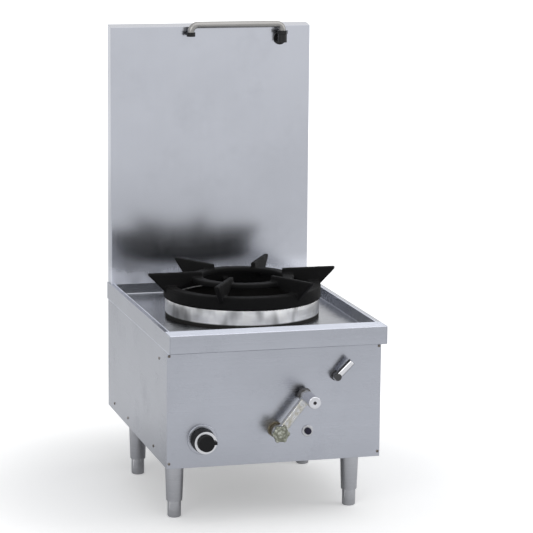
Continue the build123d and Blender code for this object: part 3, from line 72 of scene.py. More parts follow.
look = Vector((
    math.sin(camera_yaw) * math.cos(camera_pitch),
    math.cos(camera_yaw) * math.cos(camera_pitch),
    -math.sin(camera_pitch),
))
level = Vector((math.cos(camera_yaw), -math.sin(camera_yaw), 0))
rise = level.cross(look)
right = math.cos(camera_roll) * level + math.sin(camera_roll) * rise
upward = math.cos(camera_roll) * rise - math.sin(camera_roll) * level
camera = bpy.data.objects.new("camera", bpy.data.cameras.new("camera"))
camera.data.lens = camera_lens
camera.data.sensor_width = camera_sensor
camera.data.clip_end = 60
camera.matrix_world = Matrix.Translation(camera_place) @ Matrix(
    (right, upward, -look)
).transposed().to_4x4()
bpy.context.scene.collection.objects.link(camera)
bpy.context.scene.camera = camera
bpy.context.scene.view_settings.view_transform = "Standard"

# Studio. A pale floor that runs out of sight, a white surround, a broad lamp above, one at the
# front left and a weaker one at the right. The floor glows, less near the range so that its shadow
# stays, and looks full white in the open.
floor_half = 30
floor_colour = (0.86, 0.86, 0.86, 1)
glow_under = 0.05
glow_open = 0.31
glow_far = 0.70
shadow_lift = 0.30
open_lift = 0.40
shadow_reach = (0.5, 1.2)
far_reach = (3.5, 8.0)
surround_light = 0.40
surround_colour = (0.96, 0.98, 1.0, 1)


def add(tree, kind, settings=None, **inputs):
    """One node, with its settings, and its inputs either linked or set."""
    made = tree.nodes.new(kind)
    for name, value in (settings or {}).items():
        setattr(made, name, value)
    for name, value in inputs.items():
        socket = made.inputs[name.replace("_", " ")]
        if isinstance(value, bpy.types.NodeSocket):
            tree.links.new(value, socket)
        else:
            socket.default_value = value
    return made


def reckon(tree, operation, *terms):
    """A Math node's result."""
    made = add(tree, "ShaderNodeMath", {"operation": operation})
    for socket, value in zip(made.inputs, terms):
        if isinstance(value, bpy.types.NodeSocket):
            tree.links.new(value, socket)
        else:
            socket.default_value = value
    return made.outputs[0]


def vector_sum(tree, operation, first, second):
    """A Vector Math node of two vectors."""
    made = add(tree, "ShaderNodeVectorMath", {"operation": operation})
    for socket, value in zip(made.inputs, (first, second)):
        if isinstance(value, bpy.types.NodeSocket):
            tree.links.new(value, socket)
        else:
            socket.default_value = value
    return made


def spread(tree, value, low, high, start=0.3, end=0.7, kind="SMOOTHSTEP"):
    """A value that runs from start to end, mapped to low and high."""
    made = add(tree, "ShaderNodeMapRange", {"interpolation_type": kind}, Value=value)
    for name, level in (("From Min", start), ("From Max", end), ("To Min", low), ("To Max", high)):
        made.inputs[name].default_value = level
    return made.outputs[0]


floor_mesh = bpy.data.meshes.new("studio_floor")
floor_mesh.from_pydata(
    [(x * floor_half, y * floor_half, 0) for x, y in ((-1, -1), (1, -1), (1, 1), (-1, 1))],
    [],
    [(0, 1, 2, 3)],
)
floor = bpy.data.objects.new("studio_floor", floor_mesh)
bpy.context.scene.collection.objects.link(floor)
floor_finish = bpy.data.materials.new("studio_floor")
floor_finish.use_nodes = True
tree = floor_finish.node_tree
tree.nodes.clear()
path = add(tree, "ShaderNodeLightPath").outputs
place = add(tree, "ShaderNodeTexCoord").outputs["Object"]
distance = vector_sum(tree, "LENGTH", place, (0, 0, 0)).outputs["Value"]
direct = reckon(tree, "MAXIMUM", path["Is Camera Ray"], path["Is Transmission Ray"])
seen = reckon(tree, "MAXIMUM", direct, path["Is Glossy Ray"])
nearby = spread(tree, distance, glow_under, glow_open, *shadow_reach)
beyond = spread(tree, distance, 0, glow_far - glow_open, *far_reach)
lifted = spread(tree, distance, shadow_lift, open_lift, *shadow_reach)
lifted = reckon(tree, "MULTIPLY", direct, lifted)
glowing = reckon(tree, "MULTIPLY_ADD", seen, reckon(tree, "ADD", nearby, beyond), lifted)
matt = add(tree, "ShaderNodeBsdfDiffuse", Color=floor_colour)
glow = add(tree, "ShaderNodeEmission", Strength=glowing)
lit = tree.nodes.new("ShaderNodeAddShader")
tree.links.new(matt.outputs[0], lit.inputs[0])
tree.links.new(glow.outputs[0], lit.inputs[1])
clear = add(tree, "ShaderNodeBsdfTransparent")
below = add(tree, "ShaderNodeNewGeometry").outputs["Backfacing"]
either = add(tree, "ShaderNodeMixShader", Fac=below)
tree.links.new(lit.outputs[0], either.inputs[1])
tree.links.new(clear.outputs[0], either.inputs[2])
add(tree, "ShaderNodeOutputMaterial", Surface=either.outputs[0])
floor.data.materials.append(floor_finish)

world = bpy.data.worlds.new("studio")
bpy.context.scene.world = world
world.use_nodes = True
tree = world.node_tree
tree.nodes.clear()
path = add(tree, "ShaderNodeLightPath").outputs
seen = reckon(tree, "MAXIMUM", path["Is Camera Ray"], path["Is Glossy Ray"])
seen = reckon(tree, "MAXIMUM", seen, path["Is Transmission Ray"])
shown = add(tree, "ShaderNodeBackground", Color=(1, 1, 1, 1), Strength=1.0)
giving = add(tree, "ShaderNodeBackground", Color=surround_colour, Strength=surround_light)
either = add(tree, "ShaderNodeMixShader", Fac=seen)
tree.links.new(giving.outputs[0], either.inputs[1])
tree.links.new(shown.outputs[0], either.inputs[2])
add(tree, "ShaderNodeOutputWorld", Surface=either.outputs[0])


def studio_lamp(name, place, aim, size, power):
    """A square soft lamp that faces its aim."""
    lamp = bpy.data.lights.new(name, "AREA")
    lamp.shape = "SQUARE"
    lamp.size = size
    lamp.energy = power
    holder = bpy.data.objects.new(name, lamp)
    holder.location = place
    facing = (Vector(aim) - Vector(place)).to_track_quat("-Z", "Y")
    holder.rotation_mode = "QUATERNION"
    holder.rotation_quaternion = facing
    bpy.context.scene.collection.objects.link(holder)


studio_lamp("lamp_overhead", (0.8, -0.9, 3.1), (0, 0, 0.5), 4.0, 43)
studio_lamp("lamp_front_left", (-2.4, -3.2, 2.6), (0, 0, 0.6), 1.8, 24)
studio_lamp("lamp_right", (3.2, -1.2, 1.9), (0, 0, 0.6), 1.6, 14)

# Stainless side panels. Each is one folded sheet of brushed stainless steel with its grain running
# from front to back. The cut and folded edges are slightly rounded, so they catch the light.
edge_round = 0.0005
sharp_turn = math.radians(32)
steel_colour = (0.405, 0.420, 0.468)
steel_roughness = 0.25
grain_x = (5, 1900, 1900)
grain_y = (1900, 5, 1900)
grain_z = (1900, 1900, 5)


def merged_copy(node, name):
    """The node's shape as one joined mesh, with no finish."""
    mesh = frame["nodes"][node].data.copy()
    mesh.name = name
    mesh.materials.clear()
    shape = bmesh.new()
    shape.from_mesh(mesh)
    bmesh.ops.remove_doubles(shape, verts=shape.verts, dist=2e-6)
    shape.to_mesh(mesh)
    shape.free()
    if mesh.has_custom_normals:
        mesh.attributes.remove(mesh.attributes["custom_normal"])
    return mesh


def finished_copy(node, name, width, segments=2):
    """The node's shape as a new piece, with its sharp edges rounded."""
    mesh = merged_copy(node, name)
    shape = bmesh.new()
    shape.from_mesh(mesh)
    bmesh.ops.dissolve_limit(
        shape, angle_limit=math.radians(0.4), verts=shape.verts, edges=shape.edges
    )
    shape.to_mesh(mesh)
    shape.free()
    mesh.shade_smooth()
    mesh.set_sharp_from_angle(angle=sharp_turn)
    piece = bpy.data.objects.new(name, mesh)
    bpy.context.scene.collection.objects.link(piece)
    if not width:
        return piece
    rounding = piece.modifiers.new("rounding", "BEVEL")
    rounding.width = width
    rounding.segments = segments
    rounding.limit_method = "ANGLE"
    rounding.angle_limit = sharp_turn
    rounding.use_clamp_overlap = False
    rounding.harden_normals = True
    return piece


def group_tree(name, inputs, outputs):
    """A shader group. An input given None is a vector, and the rest are numbers."""
    tree = bpy.data.node_groups.new(name, "ShaderNodeTree")
    for socket, value in inputs.items():
        kind = "NodeSocketVector" if value is None else "NodeSocketFloat"
        made = tree.interface.new_socket(socket, in_out="INPUT", socket_type=kind)
        if value is not None:
            made.default_value = value
    for socket in outputs:
        tree.interface.new_socket(socket, in_out="OUTPUT", socket_type="NodeSocketFloat")
    return tree, tree.nodes.new("NodeGroupInput").outputs, tree.nodes.new("NodeGroupOutput").inputs


def cloudy(tree, point, seed, scale, detail, roughness=0.58):
    """A noise texture's value."""
    made = add(
        tree,
        "ShaderNodeTexNoise",
        {"noise_dimensions": "4D"},
        Vector=point,
        W=seed,
        Scale=scale,
        Detail=detail,
        Roughness=roughness,
    )
    return made.outputs["Fac"]


# The grain group: fine lines, broader bands of rubbing, and faint cloudy marks. Stretch says how
# fine the grain is along each axis.
grain, given, gives = group_tree(
    "brushed_grain", {"Point": None, "Stretch": None, "Seed": 0.0}, ("Line", "Band", "Cloud")
)
drawn = vector_sum(grain, "MULTIPLY", given["Point"], given["Stretch"]).outputs[0]
grain.links.new(cloudy(grain, drawn, given["Seed"], 1.0, 3.0), gives["Line"])
grain.links.new(cloudy(grain, drawn, given["Seed"], 0.13, 4.0), gives["Band"])
grain.links.new(cloudy(grain, given["Point"], given["Seed"], 4.2, 5.0), gives["Cloud"])

# The handling group: wiped smudges, and a few thin scratches that cross the grain.
handling, given, gives = group_tree(
    "handling_marks", {"Point": None, "Size": 9.0, "Seed": 0.0}, ("Smudge", "Scratch")
)
wiped_and_painted_reflection = cloudy(handling, given["Point"], given["Seed"], given["Size"], 3.0)
handling.links.new(spread(handling, wiped_and_painted_reflection, 0, 1, 0.5, 0.74), gives["Smudge"])
slanted = add(handling, "ShaderNodeMapping", Vector=given["Point"])
slanted.inputs["Rotation"].default_value = (0.5, 0.7, 0.4)
slanted.inputs["Scale"].default_value = (22, 950, 950)
scored = cloudy(handling, slanted.outputs[0], given["Seed"], 1.0, 1.0)
handling.links.new(spread(handling, scored, 0, 1, 0.71, 0.76), gives["Scratch"])


def axes_of(tree, vector):
    """A vector's X, Y and Z."""
    return add(tree, "ShaderNodeSeparateXYZ", Vector=vector).outputs


def length_of(tree, first, second):
    """The length of a flat vector, from its two parts."""
    squared = reckon(tree, "MULTIPLY", second, second)
    return reckon(tree, "SQRT", reckon(tree, "MULTIPLY_ADD", first, first, squared))


def laid_in(tree, group, **inputs):
    """What a shader group puts out, once it is placed in a finish."""
    return add(tree, "ShaderNodeGroup", {"node_tree": group}, **inputs).outputs


def raise_skin(tree, surface, height, distance, strength):
    """Lets the surface rise and fall with a height."""
    raised = add(tree, "ShaderNodeBump", Height=height, Distance=distance, Strength=strength)
    tree.links.new(raised.outputs[0], surface["Normal"])


def new_finish(name, metallic, specular=0.5):
    """A material with its shader, and the point that its patterns follow."""
    finish = bpy.data.materials.new(name)
    finish.use_nodes = True
    surface = finish.node_tree.nodes["Principled BSDF"]
    surface.inputs["Metallic"].default_value = metallic
    surface.inputs["Specular IOR Level"].default_value = specular
    place = add(finish.node_tree, "ShaderNodeTexCoord").outputs["Object"]
    return finish, finish.node_tree, surface.inputs, place


def toned(tree, colour, light):
    """A colour made lighter or darker by a value near one."""
    made = add(tree, "ShaderNodeVectorMath", {"operation": "SCALE"}, Scale=light)
    made.inputs[0].default_value = colour
    return made.outputs[0]


def blend_colour(tree, share, first, second):
    """Two colours mixed by a share."""
    made = add(tree, "ShaderNodeMix", {"data_type": "RGBA"}, Factor=share)
    for socket, value in ((made.inputs[6], first), (made.inputs[7], second)):
        if isinstance(value, bpy.types.NodeSocket):
            tree.links.new(value, socket)
        else:
            socket.default_value = (*value, 1)
    return made.outputs[2]


def brushed_steel(name, stretch, colour, roughness, seed, relief=0.00002, clouding=0.07, top=0.0,
                  painted_light_at=None):
    """Brushed sheet. top is how much duller from wear its faces that look up are, and how much lighter
    they are painted, as a painted highlight. The last argument tells from the place how far the sheet
    is painted lighter and duller there, as painted light."""
    finish, tree, surface, place = new_finish(name, 1.0)
    marks = laid_in(tree, grain, Point=place, Stretch=stretch, Seed=seed)
    used = laid_in(tree, handling, Point=place, Seed=seed)
    drawn = reckon(tree, "MULTIPLY_ADD", marks["Band"], 0.3, marks["Line"])
    light = spread(tree, drawn, 0.965, 1.03, 0.4, 0.9)
    cloud = spread(tree, marks["Cloud"], 1 - clouding / 2, 1 + clouding / 2)
    light = reckon(tree, "MULTIPLY", light, cloud)
    light = reckon(tree, "MULTIPLY_ADD", used["Smudge"], -0.035, light)
    rubbed = spread(tree, drawn, roughness - 0.02, roughness + 0.03, 0.4, 0.9)
    rubbed = reckon(tree, "MULTIPLY_ADD", used["Smudge"], 0.05, rubbed)
    rubbed = reckon(tree, "MULTIPLY_ADD", used["Scratch"], 0.05, rubbed)
    # Faces that look up are rougher from wear, and painted lighter and less metallic as a painted
    # highlight.
    if top:
        facing = add(tree, "ShaderNodeNewGeometry").outputs["Normal"]
        worn = spread(tree, axes_of(tree, facing)["Z"], 0, 1, 0.3, 0.9)
        rubbed = reckon(tree, "MULTIPLY_ADD", worn, top, rubbed)
        light = reckon(tree, "MULTIPLY", light, spread(tree, worn, 1, 1 + 2 * top, 0, 1, "LINEAR"))
        tree.links.new(spread(tree, worn, 1, 1 - 1.4 * top, 0, 1, "LINEAR"), surface["Metallic"])
    # The last argument's mask is painted light: the sheet is painted lighter, rougher and less metallic
    # there.
    if painted_light_at:
        pale = painted_light_at(tree, place)
        light = reckon(tree, "MULTIPLY", light, spread(tree, pale, 1, 1.9, 0, 1, "LINEAR"))
        rubbed = reckon(tree, "MULTIPLY_ADD", pale, 0.2, rubbed)
        tree.links.new(spread(tree, pale, 1, 0.45, 0, 1, "LINEAR"), surface["Metallic"])
    tree.links.new(toned(tree, colour, light), surface["Base Color"])
    tree.links.new(rubbed, surface["Roughness"])
    raise_skin(tree, surface, drawn, relief, 0.35)
    return finish


def put_on(piece, node, finish=None):
    """Gives the piece its finish, and lets it stand for the node on that node's body."""
    if finish:
        piece.data.materials.clear()
        piece.data.materials.append(finish)
    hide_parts(node)
    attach(piece, frame["nodes"][node]["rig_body"])


side_steel = brushed_steel("side_steel", grain_y, steel_colour, steel_roughness, 1.0)
for side in ("left", "right"):
    node = f"side_panel_{side}"
    put_on(finished_copy(node, f"{node}_sheet", edge_round), node, side_steel)

# Back panel. A flat mill-finish sheet, duller than the brushed panels, with holes for the pipes.
mill_colour = (0.36, 0.368, 0.392)
mill_roughness = 0.40
mill_steel = brushed_steel("mill_steel", grain_x, mill_colour, mill_roughness, 3.0, clouding=0.18)
put_on(finished_copy("back_panel", "back_panel_sheet", edge_round), "back_panel", mill_steel)

# Cross members. Two channels of thicker mill-finish sheet, open upward, that carry the legs.
for end in ("front", "rear"):
    node = f"cross_member_{end}"
    put_on(finished_copy(node, f"{node}_channel", edge_round), node, mill_steel)

# Legs. Tapered tubes of polished stainless steel, turned on a lathe, each welded to a flat plate
# that is bolted up to its cross member.
leg_colour = (0.470, 0.475, 0.504)
leg_roughness = 0.10
corners = ("front_left", "front_right", "rear_left", "rear_right")

lathe, given, gives = group_tree(
    "lathe_lines", {"Point": None, "Fine": 2400.0, "Seed": 0.0}, ("Line", "Band", "Radius")
)
point = axes_of(lathe, given["Point"])
radius = length_of(lathe, point["X"], point["Y"])
spoke = reckon(lathe, "MAXIMUM", radius, 0.0001)
along = reckon(lathe, "MULTIPLY", reckon(lathe, "ADD", radius, point["Z"]), given["Fine"])
drawn = add(
    lathe,
    "ShaderNodeCombineXYZ",
    X=along,
    Y=reckon(lathe, "DIVIDE", point["X"], spoke),
    Z=reckon(lathe, "DIVIDE", point["Y"], spoke),
).outputs[0]
lathe.links.new(cloudy(lathe, drawn, given["Seed"], 1.0, 3.0), gives["Line"])
lathe.links.new(cloudy(lathe, drawn, given["Seed"], 0.12, 3.0), gives["Band"])
lathe.links.new(radius, gives["Radius"])


def middle(node):
    """The centre of a node's box."""
    low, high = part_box(node)
    return (Vector(low) + Vector(high)) / 2


def about(tree, place, centre, axis):
    """The point measured from a centre, turned so that the axis is Z."""
    moved = vector_sum(tree, "SUBTRACT", place, tuple(centre)).outputs[0]
    turned = add(tree, "ShaderNodeMapping", Vector=moved)
    turned.inputs["Rotation"].default_value = {
        "X": (0, -math.pi / 2, 0), "Y": (math.pi / 2, 0, 0), "Z": (0, 0, 0)
    }[axis]
    return turned.outputs[0]


def turned_metal(name, centre, axis, colour, roughness, seed, dull=None, share=0.3, groove=None):
    """Metal finished on a lathe. It may have dulled in patches to a second colour, and have a groove
    between two radii, sunk by bump and painted darker with the second colour as painted shade."""
    finish, tree, surface, place = new_finish(name, 1.0)
    centred = about(tree, place, centre, axis)
    marks = laid_in(tree, lathe, Point=centred, Seed=seed)
    used = laid_in(tree, handling, Point=place, Size=38.0, Seed=seed)
    drawn = reckon(tree, "ADD", marks["Line"], marks["Band"])
    light = spread(tree, drawn, 0.95, 1.04, 0.7, 1.3)
    bright = toned(tree, colour, reckon(tree, "MULTIPLY_ADD", used["Smudge"], -0.06, light))
    rubbed = spread(tree, drawn, roughness - 0.02, roughness + 0.04, 0.7, 1.3)
    rubbed = reckon(tree, "MULTIPLY_ADD", used["Smudge"], 0.07, rubbed)
    rubbed = reckon(tree, "MULTIPLY_ADD", used["Scratch"], 0.1, rubbed)
    if dull:
        blotches = cloudy(tree, place, seed, 120.0, 5.0)
        patches = spread(tree, blotches, 0, 1, 0.62 - share, 0.75 - share / 2)
        bright = blend_colour(tree, patches, bright, dull)
        rubbed = reckon(tree, "MULTIPLY_ADD", patches, 0.14, rubbed)
    height = reckon(tree, "MULTIPLY", drawn, 0.000004)
    # The groove is painted darker with the second colour, a painted shade.
    if groove:
        inner, outer = groove
        trough = spread(tree, marks["Radius"], 0, 1, inner - 0.0008, inner)
        rim = spread(tree, marks["Radius"], 1, 0, outer, outer + 0.0008)
        trough = reckon(tree, "MULTIPLY", trough, rim)
        bright = blend_colour(tree, reckon(tree, "MULTIPLY", trough, 0.8), bright, dull)
        height = reckon(tree, "MULTIPLY_ADD", trough, -0.0012, height)
    tree.links.new(bright, surface["Base Color"])
    tree.links.new(rubbed, surface["Roughness"])
    raise_skin(tree, surface, height, 1.0, 0.9)
    return finish


for count, corner in enumerate(corners):
    node = f"leg_{corner}"
    leg_steel = turned_metal(f"{node}_steel", middle(node), "Z", leg_colour, leg_roughness, 20.0 + count)
    put_on(finished_copy(node, f"{node}_tube", edge_round), node, leg_steel)

# Leg welds. A bead of small overlapping ripples, laid round the top of each tube where it meets
# its plate, left as welded with a straw and blue tint.
weld_radius = 0.0262
weld_bead = 0.0019
weld_sink = 0.35
weld_ripples = 54
weld_seed = 5
smallest_ripple = 0.86
largest_ripple = 1.12
weld_straw = (0.42, 0.36, 0.27)
weld_blue = (0.28, 0.31, 0.40)
leg_plate = 0.004


def modelling_tree(name, inputs):
    """A tree of Geometry Nodes, and the identifiers of its named inputs."""
    tree = bpy.data.node_groups.new(name, "GeometryNodeTree")
    tree.interface.new_socket("Geometry", in_out="INPUT", socket_type="NodeSocketGeometry")
    named = {}
    for label, kind in inputs.items():
        made = tree.interface.new_socket(label, in_out="INPUT", socket_type=f"NodeSocket{kind}")
        named[label] = made.identifier
    tree.interface.new_socket("Geometry", in_out="OUTPUT", socket_type="NodeSocketGeometry")
    given = tree.nodes.new("NodeGroupInput").outputs
    gives = tree.nodes.new("NodeGroupOutput").inputs
    return tree, given, gives, named


def grown(name, mesh, tree, named, **values):
    """The mesh that a tree of Geometry Nodes makes from another, as a plain object."""
    holder = bpy.data.objects.new(f"{name}_start", mesh)
    bpy.context.scene.collection.objects.link(holder)
    modifier = holder.modifiers.new("shape", "NODES")
    modifier.node_group = tree
    for label, value in values.items():
        modifier[named[label.replace("_", " ")]] = value
    seen_now = bpy.context.evaluated_depsgraph_get()
    made = bpy.data.meshes.new_from_object(holder.evaluated_get(seen_now))
    holder.modifiers.remove(modifier)
    bpy.data.objects.remove(holder)
    made.name = name
    piece = bpy.data.objects.new(name, made)
    bpy.context.scene.collection.objects.link(piece)
    return piece


def finish_off(tree, gives, shape, finish):
    """Ends a tree: real meshes in place of instances, and their material."""
    real = add(tree, "GeometryNodeRealizeInstances", Geometry=shape)
    smooth = add(tree, "GeometryNodeSetShadeSmooth", Geometry=real.outputs[0])
    dressed = add(tree, "GeometryNodeSetMaterial", Geometry=smooth.outputs[0], Material=finish)
    tree.links.new(dressed.outputs[0], gives["Geometry"])


weld_tree, given, gives, named = modelling_tree(
    "weld_beads",
    {"Ring Radius": "Float", "Bead": "Float", "Ripples": "Int", "Seed": "Int", "Finish": "Material"},
)
ring = add(weld_tree, "GeometryNodeMeshCircle", Vertices=given["Ripples"], Radius=given["Ring Radius"])
rings = add(
    weld_tree, "GeometryNodeInstanceOnPoints", Points=given["Geometry"], Instance=ring.outputs[0]
)
spots = add(weld_tree, "GeometryNodeRealizeInstances", Geometry=rings.outputs[0])
ripple = add(weld_tree, "GeometryNodeMeshIcoSphere", Radius=given["Bead"], Subdivisions=2)
sizes = add(weld_tree, "FunctionNodeRandomValue", {"data_type": "FLOAT"}, Seed=given["Seed"])
sizes.inputs[2].default_value = smallest_ripple
sizes.inputs[3].default_value = largest_ripple
beads = add(
    weld_tree,
    "GeometryNodeInstanceOnPoints",
    Points=spots.outputs[0],
    Instance=ripple.outputs[0],
    Scale=sizes.outputs[1],
)
finish_off(weld_tree, gives, beads.outputs[0], given["Finish"])

weld_finish, tree, surface, place = new_finish("weld_tint", 1.0)
heat = spread(tree, cloudy(tree, place, 2.0, 90.0, 3.0), 0, 1)
tree.links.new(blend_colour(tree, heat, weld_straw, weld_blue), surface["Base Color"])
tree.links.new(spread(tree, heat, 0.28, 0.44, 0, 1), surface["Roughness"])

tube_tops = []
for corner in corners:
    leg_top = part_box(f"leg_{corner}")[1][2]
    centre = middle(f"leg_{corner}")
    tube_tops.append((centre.x, centre.y, leg_top - leg_plate - weld_bead * weld_sink))
weld_starts = bpy.data.meshes.new("weld_starts")
weld_starts.from_pydata(tube_tops, [], [])
welds = grown(
    "leg_welds",
    weld_starts,
    weld_tree,
    named,
    Ring_Radius=weld_radius,
    Bead=weld_bead,
    Ripples=weld_ripples,
    Seed=weld_seed,
    Finish=weld_finish,
)
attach(welds, frame["nodes"]["leg_front_left"]["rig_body"])

# Feet. Round stainless soles on threaded stems that screw up into the legs to level the range.
foot_colour = (0.50, 0.505, 0.53)
for count, corner in enumerate(corners):
    node = f"foot_{corner}"
    foot_steel = turned_metal(f"{node}_steel", middle(node), "Z", foot_colour, 0.17, 30.0 + count)
    put_on(finished_copy(node, f"{node}_sole", edge_round), node, foot_steel)

# Leg bolts. Zinc-plated hexagon bolts and nuts, dulled and slightly yellow with age.
zinc_colour = (0.50, 0.505, 0.51)
zinc_dull = (0.40, 0.385, 0.33)


def plated(name, colour, dull, roughness, seed):
    """Plating with dull patches and a fine grain of crystals."""
    finish, tree, surface, place = new_finish(name, 1.0)
    patches = spread(tree, cloudy(tree, place, seed, 46.0, 6.0), 0, 1, 0.38, 0.66)
    tree.links.new(blend_colour(tree, patches, colour, dull), surface["Base Color"])
    crystals = cloudy(tree, place, seed, 900.0, 4.0)
    rubbed = spread(tree, crystals, roughness - 0.05, roughness + 0.06)
    rubbed = reckon(tree, "ADD", rubbed, reckon(tree, "MULTIPLY", patches, 0.12))
    tree.links.new(rubbed, surface["Roughness"])
    raise_skin(tree, surface, crystals, 0.00004, 0.4)
    return finish


zinc = plated("zinc_plating", zinc_colour, zinc_dull, 0.34, 6.0)
put_on(finished_copy("leg_bolts", "leg_bolts_and_nuts", 0.0004), "leg_bolts", zinc)

# Front panel. One brushed sheet with its grain running across, drilled for the fittings and
# screwed to the sides at its corners.
front_steel = brushed_steel("front_steel", grain_x, steel_colour, steel_roughness, 2.0)
put_on(finished_copy("front_panel", "front_panel_sheet", edge_round), "front_panel", front_steel)

# Front ledge. A strip of sheet folded down over the front panel, so that a pot slides across it.
# Its top has been rubbed dull by pots, and is painted lighter as a painted highlight.
top_wear_and_painted_light = 0.42
ledge_steel = brushed_steel("ledge_steel", grain_x, steel_colour, steel_roughness, 8.0, top=top_wear_and_painted_light)
put_on(finished_copy("front_ledge", "front_ledge_fold", edge_round), "front_ledge", ledge_steel)

# Side rails. Narrow folded strips along the sides of the hob, butted to the ledge.
# Their foot and inner lip are painted lighter as a painted highlight.
rail_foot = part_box("side_rail_left")[0][2]
rail_lip = -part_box("side_rail_left")[1][0]
foot_highlight = (0.0012, 0.0022)
lip_highlight = (0.0028, 0.0040)


def painted_edge_highlight(tree, place):
    """Painted highlight: along a rail's foot and its inner lip."""
    point = axes_of(tree, place)
    lower = spread(tree, point["Z"], 1, 0, rail_foot + foot_highlight[0], rail_foot + foot_highlight[1])
    across = reckon(tree, "ABSOLUTE", point["X"])
    inner = spread(tree, across, 1, 0, rail_lip + lip_highlight[0], rail_lip + lip_highlight[1])
    return reckon(tree, "MAXIMUM", lower, inner)


rail_steel = brushed_steel(
    "rail_steel", grain_y, steel_colour, steel_roughness, 9.0, painted_light_at=painted_edge_highlight
)
for side in ("left", "right"):
    node = f"side_rail_{side}"
    put_on(finished_copy(node, f"{node}_fold", edge_round), node, rail_steel)

# Hob tray. A pan pressed from one sheet and sunk below the ledge to catch spills, with an upstand
# round the burner hole. Wiping has left it cloudy, and toward its front it is painted lighter in
# patches as a painted reflection.
tray_colour = (0.300, 0.310, 0.338)
tray_roughness = 0.24
reflection_front = -0.16
reflection_back = -0.02


def wiped_and_painted_reflection(tree, place):
    """Painted reflection: lighter in patches, toward the tray's front."""
    depth = axes_of(tree, place)["Y"]
    patchy = spread(tree, cloudy(tree, place, 7.0, 14.0, 2.0), 0.1, 0.45)
    return reckon(tree, "MULTIPLY", patchy, spread(tree, depth, 1, 0, reflection_front, reflection_back))


tray_steel = brushed_steel(
    "tray_steel", grain_x, tray_colour, tray_roughness, 7.0, clouding=0.2, painted_light_at=wiped_and_painted_reflection
)
put_on(finished_copy("hob_tray", "hob_tray_pan", edge_round), "hob_tray", tray_steel)

# Splashback. A tall skin of brighter brushed sheet folded round three sides, closed by a flat cover
# at the rear, over two channels that stand up from the back panel. Its foot is painted lighter in
# patches as a painted reflection.
splash_colour = (0.495, 0.51, 0.56)
splash_roughness = 0.19
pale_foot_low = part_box("splashback_skin")[0][2] + 0.050
pale_foot_high = pale_foot_low + 0.060


def painted_pale_foot(tree, place):
    """Painted reflection: lighter in patches, at the foot of the splashback."""
    height = axes_of(tree, place)["Z"]
    patchy = spread(tree, cloudy(tree, place, 10.0, 11.0, 2.0), 0.2, 0.75)
    return reckon(tree, "MULTIPLY", patchy, spread(tree, height, 1, 0, pale_foot_low, pale_foot_high))


splash_steel = brushed_steel(
    "splash_steel", grain_z, splash_colour, splash_roughness, 10.0, painted_light_at=painted_pale_foot
)
put_on(
    finished_copy("splashback_skin", "splashback_skin_sheet", edge_round),
    "splashback_skin",
    splash_steel,
)
cover_steel = brushed_steel("cover_steel", grain_z, mill_colour, mill_roughness, 12.0, clouding=0.18)
for node in ("splashback_rear_cover", "splashback_posts"):
    put_on(finished_copy(node, f"{node}_sheet", edge_round), node, cover_steel)

# Panel screws. Stainless pan heads with a cross recess, in the front panel, the sides and the rear
# cover. Those in the sides have nuts inside.
head_radius = 0.004
head_height = 0.0022
shank_radius = 0.002
shank_length = 0.007
recess_half = 0.0021
recess_width = 0.0009
recess_depth = 0.0013
screw_steps = 28
screw_seed = 11
nut_height = 0.003
nut_radius = 0.0035
nut_seat = 0.2957
screw_colour = (0.22, 0.20, 0.18)
screw_dull = (0.13, 0.115, 0.10)


def turned_shape(name, profile, steps):
    """A closed mesh turned about Z from pairs of radius and height, from its top to its bottom."""
    shape = bmesh.new()
    rings = []
    for radius, height in profile:
        count = steps if radius else 1
        rings.append([
            shape.verts.new((
                radius * math.cos(2 * math.pi * step / steps),
                radius * math.sin(2 * math.pi * step / steps),
                height,
            ))
            for step in range(count)
        ])
    for over, under in zip(rings, rings[1:]):
        for step in range(steps):
            ahead = (step + 1) % steps
            corners_of_face = [over[step % len(over)], under[step % len(under)]]
            if len(under) > 1:
                corners_of_face.append(under[ahead])
            if len(over) > 1:
                corners_of_face.append(over[ahead])
            shape.faces.new(corners_of_face)
    bmesh.ops.recalc_face_normals(shape, faces=shape.faces)
    mesh = bpy.data.meshes.new(name)
    shape.to_mesh(mesh)
    shape.free()
    return mesh


def loose_parts(node):
    """The box of each separate part of a node."""
    shape = bmesh.new()
    shape.from_mesh(frame["nodes"][node].data)
    bmesh.ops.remove_doubles(shape, verts=shape.verts, dist=2e-6)
    left = set(shape.verts)
    boxes = []
    while left:
        reached = [left.pop()]
        for vertex in reached:
            near = {edge.other_vert(vertex) for edge in vertex.link_edges} & left
            left -= near
            reached.extend(sorted(near, key=lambda other: other.index))
        low = Vector(tuple(min(vertex.co[axis] for vertex in reached) for axis in range(3)))
        high = Vector(tuple(max(vertex.co[axis] for vertex in reached) for axis in range(3)))
        boxes.append((low, high))
    shape.free()
    return sorted(boxes, key=lambda box: tuple(box[0]))


def spots_mesh(name, spots):
    """A mesh of loose points, each with the direction that its fastening faces."""
    mesh = bpy.data.meshes.new(name)
    mesh.from_pydata([tuple(place) for place, facing in spots], [], [])
    faces = mesh.attributes.new("facing", "FLOAT_VECTOR", "POINT")
    for count, (place, facing) in enumerate(spots):
        faces.data[count].vector = facing
    return mesh


screw_spots = []
nut_spots = []
for low, high in loose_parts("panel_screws"):
    centre = (low + high) / 2
    if high.x - low.x > 2.2 * head_radius:
        outward = Vector((math.copysign(1, centre.x), 0, 0))
        nut_place = Vector((math.copysign(nut_seat, centre.x), centre.y, centre.z))
        nut_spots.append((nut_place, -outward))
    else:
        outward = Vector((0, math.copysign(1, centre.y), 0))
    half_length = (high - low).dot(Vector(map(abs, outward))) / 2
    screw_spots.append((centre + outward * (half_length - head_height), outward))

